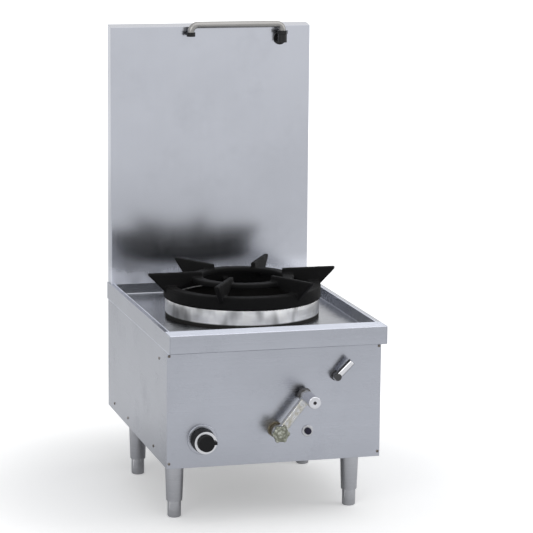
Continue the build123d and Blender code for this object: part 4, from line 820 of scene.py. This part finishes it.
pan_head = turned_shape(
    "pan_head_screw",
    (
        (0, head_height), (0.0016, head_height * 0.98), (0.0028, head_height * 0.86),
        (0.0036, head_height * 0.62), (head_radius * 0.98, head_height * 0.3), (head_radius, 0.00012),
        (head_radius * 0.98, 0), (shank_radius, 0), (shank_radius, 0.0004 - shank_length),
        (shank_radius * 0.7, -shank_length), (0, -shank_length),
    ),
    screw_steps,
)

recess_tree, given, gives, recess_named = modelling_tree(
    "cross_recess",
    {
        "Slot Length": "Float", "Slot Width": "Float", "Slot Depth": "Float",
        "Head Height": "Float", "Finish": "Material",
    },
)
lift = add(recess_tree, "ShaderNodeCombineXYZ", Z=given["Head Height"])
cut = given["Geometry"]
for long_side, short_side in (("Slot Length", "Slot Width"), ("Slot Width", "Slot Length")):
    size = add(
        recess_tree,
        "ShaderNodeCombineXYZ",
        X=given[long_side],
        Y=given[short_side],
        Z=given["Slot Depth"],
    )
    slot = add(recess_tree, "GeometryNodeMeshCube", Size=size.outputs[0])
    slot = add(
        recess_tree, "GeometryNodeTransform", Geometry=slot.outputs[0], Translation=lift.outputs[0]
    )
    milled = add(recess_tree, "GeometryNodeMeshBoolean", {"operation": "DIFFERENCE", "solver": "EXACT"})
    recess_tree.links.new(cut, milled.inputs["Mesh 1"])
    recess_tree.links.new(slot.outputs[0], milled.inputs["Mesh 2"])
    cut = milled.outputs["Mesh"]
finish_off(recess_tree, gives, cut, given["Finish"])

setting_tree, given, gives, setting_named = modelling_tree(
    "set_fasteners", {"Fastener": "Object", "Seed": "Int", "Finish": "Material"}
)
blank = add(setting_tree, "GeometryNodeObjectInfo", Object=given["Fastener"])
facing = add(
    setting_tree, "GeometryNodeInputNamedAttribute", {"data_type": "FLOAT_VECTOR"}, Name="facing"
)
aimed = add(
    setting_tree, "FunctionNodeAlignRotationToVector", {"axis": "Z"}, Vector=facing.outputs[0]
)
turn = add(setting_tree, "FunctionNodeRandomValue", {"data_type": "FLOAT"}, Seed=given["Seed"])
turn.inputs[2].default_value = 0
turn.inputs[3].default_value = math.pi / 2
spin = add(setting_tree, "FunctionNodeAxisAngleToRotation", Axis=(0, 0, 1), Angle=turn.outputs[1])
posed = add(
    setting_tree,
    "FunctionNodeRotateRotation",
    {"rotation_space": "LOCAL"},
    Rotation=aimed.outputs[0],
    Rotate_By=spin.outputs[0],
)
set_in = add(
    setting_tree,
    "GeometryNodeInstanceOnPoints",
    Points=given["Geometry"],
    Instance=blank.outputs["Geometry"],
    Rotation=posed.outputs[0],
)
finish_off(setting_tree, gives, set_in.outputs[0], given["Finish"])


def fastened(name, spots, fastener, node, finish, seed):
    """One piece of like fastenings, each set on its spot and turned at random."""
    piece = grown(
        name, spots_mesh(f"{name}_spots", spots), setting_tree, setting_named,
        Fastener=fastener, Seed=seed, Finish=finish,
    )
    bpy.data.objects.remove(fastener)
    piece.data.set_sharp_from_angle(angle=sharp_turn)
    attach(piece, frame["nodes"][node]["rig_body"])
    return piece


screw_finish = plated("screw_steel", screw_colour, screw_dull, 0.30, 14.0)
cross_head = grown(
    "cross_head", pan_head, recess_tree, recess_named, Slot_Length=2 * recess_half,
    Slot_Width=recess_width, Slot_Depth=2 * recess_depth, Head_Height=head_height,
    Finish=screw_finish,
)
screws = fastened("cross_head_screws", screw_spots, cross_head, "panel_screws", screw_finish, screw_seed)
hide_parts("panel_screws")
plain_nut = bpy.data.objects.new("plain_nut", turned_shape(
    "hexagon_nut",
    (
        (0, nut_height), (nut_radius * 0.86, nut_height), (nut_radius, nut_height * 0.86),
        (nut_radius, nut_height * 0.14), (nut_radius * 0.86, 0), (0, 0),
    ),
    6,
))
fastened("side_nuts", nut_spots, plain_nut, "panel_screws", zinc, screw_seed)

# Burner. A bracket of galvanised strip carries a cast-iron bowl, a cap with rings of flame ports and
# the mixing tube below. The cap and the rim are burnt black, with brown round them.
iron_colour = (0.075, 0.073, 0.072)
soot_colour = (0.012, 0.0115, 0.011)
scale_colour = (0.085, 0.045, 0.028)
strip_colour = (0.42, 0.425, 0.43)
strip_dull = (0.27, 0.275, 0.285)
bowl_burnt = 0.075
cap_burnt = 0.10

skin, given, gives = group_tree(
    "cast_skin", {"Point": None, "Grain Size": 1100.0, "Seed": 0.0}, ("Grain", "Pit", "Tone")
)
fine = cloudy(skin, given["Point"], given["Seed"], given["Grain Size"], 5.0, 0.66)
skin.links.new(fine, gives["Grain"])
cells = add(
    skin,
    "ShaderNodeTexVoronoi",
    {"voronoi_dimensions": "4D"},
    Vector=given["Point"],
    W=given["Seed"],
    Scale=reckon(skin, "MULTIPLY", given["Grain Size"], 0.22),
)
skin.links.new(spread(skin, cells.outputs["Distance"], 1, 0, 0.08, 0.32), gives["Pit"])
skin.links.new(cloudy(skin, given["Point"], given["Seed"], 26.0, 6.0, 0.62), gives["Tone"])

stain, given, gives = group_tree(
    "heat_stain",
    {"Point": None, "Burnt": 0.09, "Reach": 0.04, "Seed": 0.0},
    ("Soot", "Scale"),
)
point = axes_of(stain, given["Point"])
from_axis = length_of(stain, point["X"], point["Y"])
ragged = cloudy(stain, given["Point"], given["Seed"], 60.0, 5.0)
ragged = spread(stain, ragged, -0.35, 0.35, 0.25, 0.75, "LINEAR")
ragged = reckon(stain, "MULTIPLY", ragged, given["Reach"])
past = reckon(stain, "SUBTRACT", reckon(stain, "ADD", from_axis, ragged), given["Burnt"])
past = reckon(stain, "DIVIDE", past, given["Reach"])
stain.links.new(spread(stain, past, 1, 0, 0, 0.4), gives["Soot"])
band_in = spread(stain, past, 0, 1, 0, 0.4)
stain.links.new(reckon(stain, "MULTIPLY", band_in, spread(stain, past, 1, 0, 0.4, 1)), gives["Scale"])


def cast_iron(name, colour, roughness, seed, relief=0.0003, soot_reach_and_foot_shade=None, specular=0.3):
    """Sand-cast iron. burnt is how far from the burner's middle the soot reaches."""
    finish, tree, surface, place = new_finish(name, 0.0, specular)
    skin_of = laid_in(tree, skin, Point=place, Seed=seed)
    light = spread(tree, skin_of["Tone"], 0.72, 1.3)
    light = reckon(tree, "MULTIPLY", light, spread(tree, skin_of["Grain"], 0.85, 1.15))
    tone = toned(tree, colour, light)
    rough = spread(tree, skin_of["Tone"], roughness - 0.06, roughness + 0.08)
    rough = reckon(tree, "ADD", rough, reckon(tree, "MULTIPLY", skin_of["Pit"], 0.1))
    if soot_reach_and_foot_shade:
        centred = about(tree, place, middle("burner_cap"), "Z")
        fired = laid_in(tree, stain, Point=centred, Burnt=soot_reach_and_foot_shade, Seed=seed)
        tone = blend_colour(tree, fired["Scale"], tone, scale_colour)
        tone = blend_colour(tree, fired["Soot"], tone, soot_colour)
        rough = reckon(tree, "MULTIPLY_ADD", fired["Soot"], 0.12, rough)
    tree.links.new(tone, surface["Base Color"])
    tree.links.new(rough, surface["Roughness"])
    height = reckon(tree, "MULTIPLY_ADD", skin_of["Pit"], -0.8, skin_of["Grain"])
    raise_skin(tree, surface, height, relief, 0.6)
    return finish


galvanised = plated("galvanised_strip", strip_colour, strip_dull, 0.36, 15.0)
put_on(finished_copy("burner_bracket", "burner_bracket_strip", 0.0004), "burner_bracket", galvanised)
bowl_iron = cast_iron("bowl_iron", iron_colour, 0.66, 16.0, soot_reach_and_foot_shade=bowl_burnt)
put_on(finished_copy("burner_body", "burner_bowl", 0.0012, 3), "burner_body", bowl_iron)
cap_iron = cast_iron("cap_iron", iron_colour, 0.70, 17.0, soot_reach_and_foot_shade=cap_burnt)
put_on(finished_copy("burner_cap", "burner_cap_plate", 0.0003), "burner_cap", cap_iron)
tube_iron = cast_iron("tube_iron", iron_colour, 0.62, 18.0)
put_on(finished_copy("mixing_tube", "mixing_tube_casting", 0.0006), "mixing_tube", tube_iron)

# Gas injector. A turned brass hexagon with one fine hole, screwed into the gas cock's outlet.
brass_colour = (0.50, 0.40, 0.20)
brass_dull = (0.27, 0.20, 0.10)


def turned_brass(node, axis, seed, share=0.35):
    """A brass piece of the gas line, turned and a little tarnished."""
    finish = turned_metal(
        f"{node}_brass", middle(node), axis, brass_colour, 0.22, seed, dull=brass_dull, share=share
    )
    put_on(finished_copy(node, f"{node}_turning", 0.0003), node, finish)


turned_brass("gas_injector", "Y", 41.0)

# Pilot. A hooded steel burner on its plate, with a thermocouple and a spark electrode beside it.
# The hood and the thermocouple's tip are blued by the flame, and the electrode is glazed ceramic.
hood_colour = (0.40, 0.39, 0.38)
hood_dull = (0.28, 0.27, 0.26)
blued_colour = (0.16, 0.17, 0.24)
copper_colour = (0.62, 0.30, 0.17)
copper_dull = (0.30, 0.14, 0.085)
glaze_colour = (0.74, 0.71, 0.64)
glaze_sooted = (0.20, 0.16, 0.12)
electrode_metal = (0.33, 0.32, 0.31)
glaze_end = (0.0142, 0.0138)
lead_red = (0.36, 0.045, 0.035)
hood_blued = 0.03
sensor_blued = (0.052, 0.03)
flame_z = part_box("pilot_burner")[1][2]


def fired_metal(name, colour, dull, seed, cool, hot):
    """Metal that is blued between two heights, where the flame plays on it."""
    finish, tree, surface, place = new_finish(name, 1.0)
    patches = spread(tree, cloudy(tree, place, seed, 150.0, 5.0), 0, 1, 0.4, 0.65)
    tone = blend_colour(tree, patches, colour, dull)
    height = reckon(tree, "MULTIPLY_ADD", patches, 0.004, axes_of(tree, place)["Z"])
    tone = blend_colour(tree, spread(tree, height, 0, 1, cool, hot), tone, blued_colour)
    tree.links.new(tone, surface["Base Color"])
    rubbed = spread(tree, cloudy(tree, place, seed, 700.0, 4.0), 0.24, 0.42)
    tree.links.new(rubbed, surface["Roughness"])
    return finish


hood_steel = fired_metal(
    "pilot_hood_steel", hood_colour, hood_dull, 42.0, flame_z - hood_blued, flame_z
)
put_on(finished_copy("pilot_burner", "pilot_hood", 0.0003), "pilot_burner", hood_steel)
sensor_copper = fired_metal(
    "sensor_copper",
    copper_colour,
    copper_dull,
    43.0,
    flame_z - sensor_blued[0],
    flame_z - sensor_blued[1],
)
put_on(finished_copy("thermocouple", "thermocouple_rod", 0.0002), "thermocouple", sensor_copper)

electrode_finish, tree, surface, place = new_finish("electrode_glaze", 0.0)
surface["Coat Roughness"].default_value = 0.08
height = axes_of(tree, place)["Z"]
bare = spread(tree, height, 0, 1, flame_z - glaze_end[0], flame_z - glaze_end[1])
sooted = spread(tree, cloudy(tree, place, 44.0, 220.0, 5.0), 0, 0.5, 0.45, 0.75)
glazed = blend_colour(tree, sooted, glaze_colour, glaze_sooted)
tree.links.new(blend_colour(tree, bare, glazed, electrode_metal), surface["Base Color"])
tree.links.new(bare, surface["Metallic"])
tree.links.new(spread(tree, bare, 0.8, 0, 0, 1), surface["Coat Weight"])
tree.links.new(spread(tree, sooted, 0.30, 0.55, 0, 0.5), surface["Roughness"])
put_on(finished_copy("spark_electrode", "electrode_rod", 0.0002), "spark_electrode", electrode_finish)


def moulded(name, colour, roughness, seed, specular=0.5, grain_depth=0.00003, grain_size=1500.0):
    """Moulded plastic or rubber: a fine grain, and a rubbed sheen where it has been touched."""
    finish, tree, surface, place = new_finish(name, 0.0, specular)
    used = laid_in(tree, handling, Point=place, Size=42.0, Seed=seed)
    fine = cloudy(tree, place, seed, grain_size, 3.0)
    light = spread(tree, cloudy(tree, place, seed, 60.0, 4.0), 0.88, 1.12)
    light = reckon(tree, "MULTIPLY_ADD", used["Scratch"], 0.25, light)
    tree.links.new(toned(tree, colour, light), surface["Base Color"])
    rough = spread(tree, fine, roughness - 0.03, roughness + 0.04)
    rough = reckon(tree, "MULTIPLY_ADD", used["Smudge"], 0.10, rough)
    tree.links.new(rough, surface["Roughness"])
    raise_skin(tree, surface, fine, grain_depth, 0.4)
    return finish


lead_rubber = moulded("lead_silicone", lead_red, 0.46, 45.0)
put_on(finished_copy("ignition_lead", "ignition_lead_core", 0.0), "ignition_lead", lead_rubber)

# Gas line. A threaded steel pipe comes through the back panel to the control valve, whose zinc body
# feeds the pilot and the cock through small copper pipes.
pipe_colour = (0.37, 0.375, 0.38)
pipe_dull = (0.25, 0.245, 0.23)
valve_colour = (0.40, 0.405, 0.41)
valve_dull = (0.31, 0.31, 0.30)
spindle_colour = (0.46, 0.46, 0.47)
cock_colour = (0.26, 0.235, 0.165)
cock_dull = (0.12, 0.10, 0.07)
thread_pitch = 0.001814
thread_ridge = 0.00052
thread_depth = 0.0010
gas_thread = (0.01322, 0.018)

thread_tree, given, gives, thread_named = modelling_tree(
    "threaded_end",
    {
        "Start": "Vector", "Turns": "Float", "Radius": "Float", "Length": "Float",
        "Ridge": "Float", "Finish": "Material",
    },
)
helix = add(
    thread_tree,
    "GeometryNodeCurveSpiral",
    Resolution=40,
    Rotations=given["Turns"],
    Start_Radius=given["Radius"],
    End_Radius=given["Radius"],
    Height=given["Length"],
)
section = add(thread_tree, "GeometryNodeCurvePrimitiveCircle", Resolution=6, Radius=given["Ridge"])
ridge = add(
    thread_tree, "GeometryNodeCurveToMesh", Curve=helix.outputs[0], Profile_Curve=section.outputs[0],
    Fill_Caps=True,
)
laid = add(
    thread_tree,
    "GeometryNodeTransform",
    Geometry=ridge.outputs[0],
    Translation=given["Start"],
    Rotation=(-math.pi / 2, 0, 0),
)
both = add(thread_tree, "GeometryNodeJoinGeometry")
thread_tree.links.new(laid.outputs[0], both.inputs[0])
thread_tree.links.new(given["Geometry"], both.inputs[0])
finish_off(thread_tree, gives, both.outputs[0], given["Finish"])


def threaded_pipe(node, name, thread, finish):
    """A pipe whose rear end is cut down and given a helical thread."""
    crest, length = thread
    end_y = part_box(node)[1][1]
    mesh = merged_copy(node, f"{name}_blank")
    rear = [vertex for vertex in mesh.vertices if vertex.co.y > end_y - length - 1e-5]
    axis_x = (min(v.co.x for v in rear) + max(v.co.x for v in rear)) / 2
    axis_z = (min(v.co.z for v in rear) + max(v.co.z for v in rear)) / 2
    for vertex in rear:
        spoke = Vector((vertex.co.x - axis_x, 0, vertex.co.z - axis_z))
        if abs(spoke.length - crest) < 2e-5:
            vertex.co -= spoke.normalized() * thread_depth
    piece = grown(
        name, mesh, thread_tree, thread_named,
        Start=(axis_x, end_y - length + thread_pitch * 0.6, axis_z),
        Turns=length / thread_pitch - 1.2,
        Radius=crest - thread_ridge,
        Length=length - thread_pitch * 1.2,
        Ridge=thread_ridge,
        Finish=finish,
    )
    piece.data.set_sharp_from_angle(angle=sharp_turn)
    put_on(piece, node, finish)


pipe_zinc = plated("pipe_zinc", pipe_colour, pipe_dull, 0.36, 46.0)
threaded_pipe("gas_supply_pipe", "gas_pipe_run", gas_thread, pipe_zinc)
valve_zinc = plated("valve_zinc", valve_colour, valve_dull, 0.42, 47.0)
valve_body = finished_copy("gas_control_valve", "control_valve_body", 0.0008, 3)
put_on(valve_body, "gas_control_valve", valve_zinc)
spindle_steel = turned_metal("spindle_steel", middle("gas_spindle"), "Y", spindle_colour, 0.2, 48.0)
put_on(finished_copy("gas_spindle", "gas_spindle_rod", 0.0003), "gas_spindle", spindle_steel)
cock_brass = turned_metal(
    "cock_brass", middle("main_valve_body"), "Y", cock_colour, 0.3, 49.0, dull=cock_dull
)
put_on(finished_copy("main_valve_body", "gas_cock_body", 0.0005), "main_valve_body", cock_brass)


def small_pipe(node, seed):
    """Drawn copper pipe, bright and brown in patches."""
    finish, tree, surface, place = new_finish(f"{node}_copper", 1.0)
    patches = spread(tree, cloudy(tree, place, seed, 34.0, 6.0), 0, 1, 0.36, 0.66)
    tree.links.new(blend_colour(tree, patches, copper_colour, copper_dull), surface["Base Color"])
    rubbed = spread(tree, cloudy(tree, place, seed, 500.0, 4.0), 0.2, 0.36)
    tree.links.new(reckon(tree, "MULTIPLY_ADD", patches, 0.1, rubbed), surface["Roughness"])
    put_on(finished_copy(node, f"{node}_run", 0.0), node, finish)


small_pipe("pilot_tube", 50.0)
small_pipe("valve_link_pipe", 51.0)

# Burner ring. A drum rolled from stainless sheet and polished, with an inward flange for the pot
# stand. Polishing left it a little wavy, its inside is dark with soot, and its foot, where it
# meets the tray, is painted dark as painted shade.
ring_colour = (0.95, 0.955, 0.97)
ring_roughness = 0.35
ring_inner = 0.2135
ring_sheet = 0.0012
ring_soot_and_shade = (0.016, 0.015, 0.014)
foot_shade_solid = 0.0105
foot_shade_end = 0.0150
ring_grain = (60, 60, 1500)
ring_swirl = (17, 17, 7)
ring_waves = 0.012

ring_finish, tree, surface, place = new_finish("ring_polish", 0.85)
centred = about(tree, place, middle("burner_ring"), "Z")
marks = laid_in(tree, grain, Point=place, Stretch=ring_grain, Seed=21.0)
used = laid_in(tree, handling, Point=place, Size=15.0, Seed=21.0)
point = axes_of(tree, centred)
from_axis = length_of(tree, point["X"], point["Y"])
inside = spread(tree, from_axis, 1, 0, ring_inner, ring_inner + 0.0006)
level_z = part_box("burner_ring")[1][2] - ring_sheet - middle("burner_ring").z
on_top = spread(tree, point["Z"], 0, 1, level_z, level_z + 0.0004)
soot_and_shade = reckon(tree, "SUBTRACT", inside, reckon(tree, "MULTIPLY", on_top, 0.3))
soot_and_shade = reckon(tree, "MAXIMUM", soot_and_shade, 0.0)
swirl = add(tree, "ShaderNodeMapping", Vector=place)
swirl.inputs["Scale"].default_value = ring_swirl
light = spread(tree, cloudy(tree, swirl.outputs[0], 21.0, 1.0, 2.0), 0.45, 1.05, 0.36, 0.56)
# The band at the foot, where the ring meets the tray, is painted shade.
foot_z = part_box("burner_ring")[0][2] - middle("burner_ring").z
soot_reach_and_foot_shade = spread(tree, point["Z"], 1, 0, foot_z + foot_shade_solid, foot_z + foot_shade_end)
soot_and_shade = reckon(tree, "MAXIMUM", soot_and_shade, soot_reach_and_foot_shade)
bright = toned(tree, ring_colour, light)
tree.links.new(blend_colour(tree, soot_and_shade, bright, ring_soot_and_shade), surface["Base Color"])
tree.links.new(spread(tree, soot_reach_and_foot_shade, 0.68, 0.5, 0, 1, "LINEAR"), surface["Metallic"])
rubbed = spread(tree, marks["Band"], ring_roughness - 0.04, ring_roughness + 0.06)
rubbed = reckon(tree, "MULTIPLY_ADD", used["Smudge"], 0.10, rubbed)
tree.links.new(reckon(tree, "MULTIPLY_ADD", soot_and_shade, 0.4, rubbed), surface["Roughness"])
raise_skin(tree, surface, cloudy(tree, place, 22.0, 9.0, 2.0), ring_waves, 0.7)
put_on(finished_copy("burner_ring", "burner_ring_drum", edge_round), "burner_ring", ring_finish)

# Pot stand. One heavy iron casting of a base ring, an upper ring and six fins, with soft edges, a
# sandy skin and a black stove finish worn grey where pots slide.
stand_voxel = 0.0020
stand_smoothing = 7
stand_lumps = 0.0004
stand_lump_size = 0.018
stand_colour = (0.0042, 0.0042, 0.0045)
stand_worn = (0.022, 0.022, 0.023)
stand_roughness = 0.66
stand_relief = 0.0005

stand_mesh = merged_copy("trivet", "pot_stand_casting")
stand = bpy.data.objects.new("pot_stand_casting", stand_mesh)
bpy.context.scene.collection.objects.link(stand)
stand_low, stand_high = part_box("trivet")
remesh = stand.modifiers.new("even_skin", "REMESH")
remesh.mode = "VOXEL"
remesh.voxel_size = stand_voxel
remesh.use_smooth_shade = True
softened = stand.modifiers.new("soft_edges", "SMOOTH")
softened.factor = 0.5
softened.iterations = stand_smoothing
seen_now = bpy.context.evaluated_depsgraph_get()
cast_mesh = bpy.data.meshes.new_from_object(stand.evaluated_get(seen_now))
stand.modifiers.clear()
cast_mesh.name = "pot_stand_casting_skin"
directions = [vertex.normal.copy() for vertex in cast_mesh.vertices]
for vertex, direction in zip(cast_mesh.vertices, directions):
    lump = noise.noise(vertex.co / stand_lump_size) * stand_lumps
    vertex.co += direction * lump
    vertex.co = Vector(
        min(max(value, low), high) for value, low, high in zip(vertex.co, stand_low, stand_high)
    )
cast_mesh.shade_smooth()
stand.data = cast_mesh

stand_finish, tree, surface, place = new_finish("stand_iron", 0.0, 0.12)
skin_of = laid_in(tree, skin, Point=place, Grain_Size=800.0, Seed=23.0)
tone = toned(tree, stand_colour, spread(tree, skin_of["Tone"], 0.7, 1.35))
edges = add(tree, "ShaderNodeNewGeometry").outputs["Pointiness"]
worn = spread(tree, edges, 0, 1, 0.53, 0.60)
worn = reckon(tree, "MULTIPLY", worn, spread(tree, skin_of["Tone"], 0.15, 0.8))
tree.links.new(blend_colour(tree, worn, tone, stand_worn), surface["Base Color"])
rough = spread(tree, skin_of["Tone"], stand_roughness - 0.06, stand_roughness + 0.1)
tree.links.new(reckon(tree, "MULTIPLY_ADD", worn, -0.12, rough), surface["Roughness"])
height = reckon(tree, "MULTIPLY_ADD", skin_of["Pit"], -0.7, skin_of["Grain"])
raise_skin(tree, surface, height, stand_relief, 0.6)
put_on(stand, "trivet", stand_finish)

# Gas knob. A moulded black grip on the valve's spindle, with a spun silver dial ring, in front of a
# round bezel of the same steel as the panel.
knob_black = (0.0055, 0.0058, 0.0068)
dial_silver = (0.60, 0.605, 0.63)

bezel_steel = turned_metal("bezel_steel", middle("knob_bezel"), "Y", steel_colour, 0.24, 60.0)
put_on(finished_copy("knob_bezel", "knob_bezel_disc", 0.0004), "knob_bezel", bezel_steel)
knob_plastic = moulded("knob_plastic", knob_black, 0.55, 61.0, 0.2)
put_on(finished_copy("gas_knob", "gas_knob_grip", 0.0004), "gas_knob", knob_plastic)
dial_metal = turned_metal("dial_silver", middle("knob_ring"), "Y", dial_silver, 0.17, 62.0)
put_on(finished_copy("knob_ring", "knob_dial_ring", 0.0003), "knob_ring", dial_metal)

# Gas lever. A lobed cap of pale brass turns the cock, a forged and ground arm reaches up from it,
# and a dark bronze collar holds the chromed hand grip on the arm's end.
cap_colour = (0.43, 0.445, 0.39)
cap_tarnish_and_groove_shade = (0.17, 0.175, 0.14)
arm_colour = (0.50, 0.505, 0.52)
arm_dull = (0.40, 0.385, 0.33)
collar_colour = (0.17, 0.16, 0.155)
collar_dull = (0.085, 0.078, 0.07)
grip_colour = (0.60, 0.605, 0.64)

# The groove round the cap is painted darker as painted shade.
cap_groove = (0.0115, 0.0140)
cap_brass = turned_metal(
    "cap_brass", middle("lever_cap"), "Y", cap_colour, 0.24, 63.0, cap_tarnish_and_groove_shade, 0.3, cap_groove
)
put_on(finished_copy("lever_cap", "lever_cap_lobes", 0.0007, 3), "lever_cap", cap_brass)
arm_steel = turned_metal(
    "arm_steel", middle("lever_arm"), "Y", arm_colour, 0.20, 64.0, dull=arm_dull, share=0.2
)
put_on(finished_copy("lever_arm", "lever_arm_bar", 0.0008, 3), "lever_arm", arm_steel)
collar_bronze = turned_metal(
    "collar_bronze", middle("grip_collar"), "Y", collar_colour, 0.30, 65.0, dull=collar_dull
)
put_on(finished_copy("grip_collar", "grip_collar_nut", 0.0007, 3), "grip_collar", collar_bronze)
grip_chrome = turned_metal("grip_chrome", middle("lever_grip"), "Y", grip_colour, 0.09, 66.0)
put_on(finished_copy("lever_grip", "lever_grip_bar", 0.0008, 3), "lever_grip", grip_chrome)

# Grip screw. A blackened socket screw sunk in the grip's end, which holds the grip on its stud.
screw_head = 0.0043
screw_rise = 0.0022
sunk = 0.003
socket_radius = 0.0026
black_steel = (0.07, 0.068, 0.072)
black_dull = (0.035, 0.033, 0.035)

socket_tree, given, gives, socket_named = modelling_tree(
    "socket_recess",
    {"Socket Radius": "Float", "Depth": "Float", "Head Height": "Float", "Finish": "Material"},
)
key = add(
    socket_tree,
    "GeometryNodeMeshCylinder",
    Vertices=6,
    Radius=given["Socket Radius"],
    Depth=given["Depth"],
)
lift = add(socket_tree, "ShaderNodeCombineXYZ", Z=given["Head Height"])
key = add(socket_tree, "GeometryNodeTransform", Geometry=key.outputs[0], Translation=lift.outputs[0])
milled = add(socket_tree, "GeometryNodeMeshBoolean", {"operation": "DIFFERENCE", "solver": "EXACT"})
socket_tree.links.new(given["Geometry"], milled.inputs["Mesh 1"])
socket_tree.links.new(key.outputs[0], milled.inputs["Mesh 2"])
finish_off(socket_tree, gives, milled.outputs["Mesh"], given["Finish"])

blackened = plated("blackened_steel", black_steel, black_dull, 0.30, 78.0)
socket_head = grown(
    "socket_head",
    turned_shape(
        "socket_head_blank",
        (
            (0, screw_rise), (screw_head * 0.9, screw_rise), (screw_head, screw_rise * 0.82),
            (screw_head, 0), (0, 0),
        ),
        32,
    ),
    socket_tree, socket_named, Socket_Radius=socket_radius, Depth=screw_rise * 1.4,
    Head_Height=screw_rise, Finish=blackened,
)
grip_middle = middle("lever_grip")
grip_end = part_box("lever_grip")[0][1]
fastened(
    "grip_screw",
    [(Vector((grip_middle.x, grip_end + sunk, grip_middle.z)), Vector((0, -1, 0)))],
    socket_head, "lever_grip", blackened, 3,
)

# Igniter. A dull flanged steel barrel held by a nut behind the panel, with a black push button.
igniter_colour = (0.47, 0.475, 0.50)
button_black = (0.0065, 0.0045, 0.020)
igniter_steel = turned_metal(
    "igniter_steel", middle("igniter_body"), "Y", igniter_colour, 0.28, 67.0
)
put_on(finished_copy("igniter_body", "igniter_barrel", 0.0004), "igniter_body", igniter_steel)
button_plastic = moulded("button_plastic", button_black, 0.42, 68.0, 0.3)
put_on(finished_copy("igniter_button", "igniter_button_cap", 0.0004), "igniter_button", button_plastic)

# Water tap. A turned brass body behind the panel, a black collar on its face and a chromed lever
# that a quarter turn opens. The lever's hub is enamelled black, and dark strips along its sides
# are a painted reflection.
collar_black = (0.014, 0.014, 0.016)
tap_bright = (0.66, 0.665, 0.69)
tap_enamel_and_reflection_dark = (0.04, 0.04, 0.043)
tap_turn = math.radians(48)
reflection_strip_from = 0.0066
reflection_strip_fade = 0.0004
hub_radius = 0.0096
hub_fade = 0.0003
tap_axis = middle("tap_collar")

turned_brass("tap_valve_body", "Y", 69.0, 0.4)
collar_enamel = moulded("collar_enamel", collar_black, 0.26, 70.0)
put_on(finished_copy("tap_collar", "tap_collar_ring", 0.0005), "tap_collar", collar_enamel)
tap_chrome, tree, surface, place = new_finish("tap_chrome", 1.0)
marks = laid_in(tree, handling, Point=place, Size=60.0, Seed=71.0)
point = axes_of(tree, vector_sum(tree, "SUBTRACT", place, tuple(tap_axis)).outputs[0])
# Dark strips along the lever's sides are a painted reflection, and the hub is enamelled black.
aside = reckon(tree, "MULTIPLY", point["Z"], -math.cos(tap_turn))
aside = reckon(tree, "MULTIPLY_ADD", point["X"], math.sin(tap_turn), aside)
edge_reflection_strips = spread(tree, reckon(tree, "ABSOLUTE", aside), 0, 1, reflection_strip_from, reflection_strip_from + reflection_strip_fade)
from_hub = length_of(tree, point["X"], point["Z"])
hub = spread(tree, from_hub, 1, 0, hub_radius, hub_radius + hub_fade)
hub_enamel_and_edge_reflection = reckon(tree, "MAXIMUM", edge_reflection_strips, hub)
tree.links.new(blend_colour(tree, hub_enamel_and_edge_reflection, tap_bright, tap_enamel_and_reflection_dark), surface["Base Color"])
tree.links.new(spread(tree, hub_enamel_and_edge_reflection, 1, 0, 0, 1, "LINEAR"), surface["Metallic"])
rubbed = spread(tree, hub_enamel_and_edge_reflection, 0.07, 0.30, 0, 1, "LINEAR")
tree.links.new(reckon(tree, "MULTIPLY_ADD", marks["Smudge"], 0.08, rubbed), surface["Roughness"])
put_on(finished_copy("tap_lever", "tap_lever_bar", 0.0008, 3), "tap_lever", tap_chrome)

# Water line. Copper pipes behind the panels, from a threaded brass inlet at the back to the tap, and
# from the tap up inside the splashback.
water_thread = (0.01048, 0.015)
inlet_length = 0.058
inlet_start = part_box("water_supply_pipe")[1][1] - inlet_length

inlet_finish, tree, surface, place = new_finish("inlet_brass_and_copper", 1.0)
behind = axes_of(tree, place)["Y"]
behind = spread(tree, behind, 0, 1, inlet_start - 0.0001, inlet_start + 0.0001)
patches = spread(tree, cloudy(tree, place, 72.0, 34.0, 6.0), 0, 1, 0.36, 0.66)
bright = blend_colour(tree, behind, copper_colour, brass_colour)
dulled = blend_colour(tree, behind, copper_dull, brass_dull)
tree.links.new(blend_colour(tree, patches, bright, dulled), surface["Base Color"])
rubbed = spread(tree, cloudy(tree, place, 72.0, 500.0, 4.0), 0.2, 0.36)
tree.links.new(reckon(tree, "MULTIPLY_ADD", patches, 0.1, rubbed), surface["Roughness"])
threaded_pipe("water_supply_pipe", "water_inlet_run", water_thread, inlet_finish)
small_pipe("filler_riser_pipe", 73.0)

# Pot filler. A black enamelled elbow and socket on the splashback hold a satin tube that swings on a
# swivel nut and ends in a black outlet sleeve.
filler_satin = (0.29, 0.285, 0.278)
filler_black = (0.0045, 0.0045, 0.005)
bracket_enamel = moulded("bracket_enamel", filler_black, 0.30, 74.0, 0.35)
put_on(finished_copy("filler_bracket", "filler_elbow", 0.0006, 3), "filler_bracket", bracket_enamel)
nut_enamel = moulded("nut_enamel", filler_black, 0.26, 75.0, 0.35)
swivel_nut = finished_copy("filler_swivel_nut", "swivel_nut_hexagon", 0.0006, 3)
put_on(swivel_nut, "filler_swivel_nut", nut_enamel)
arm_satin = brushed_steel("arm_satin", grain_x, filler_satin, 0.30, 76.0)
put_on(finished_copy("filler_arm", "filler_arm_tube", 0.0003), "filler_arm", arm_satin)
sleeve_rubber = moulded("sleeve_rubber", filler_black, 0.42, 77.0, 0.3)
put_on(finished_copy("filler_nozzle", "outlet_sleeve", 0.0006, 3), "filler_nozzle", sleeve_rubber)
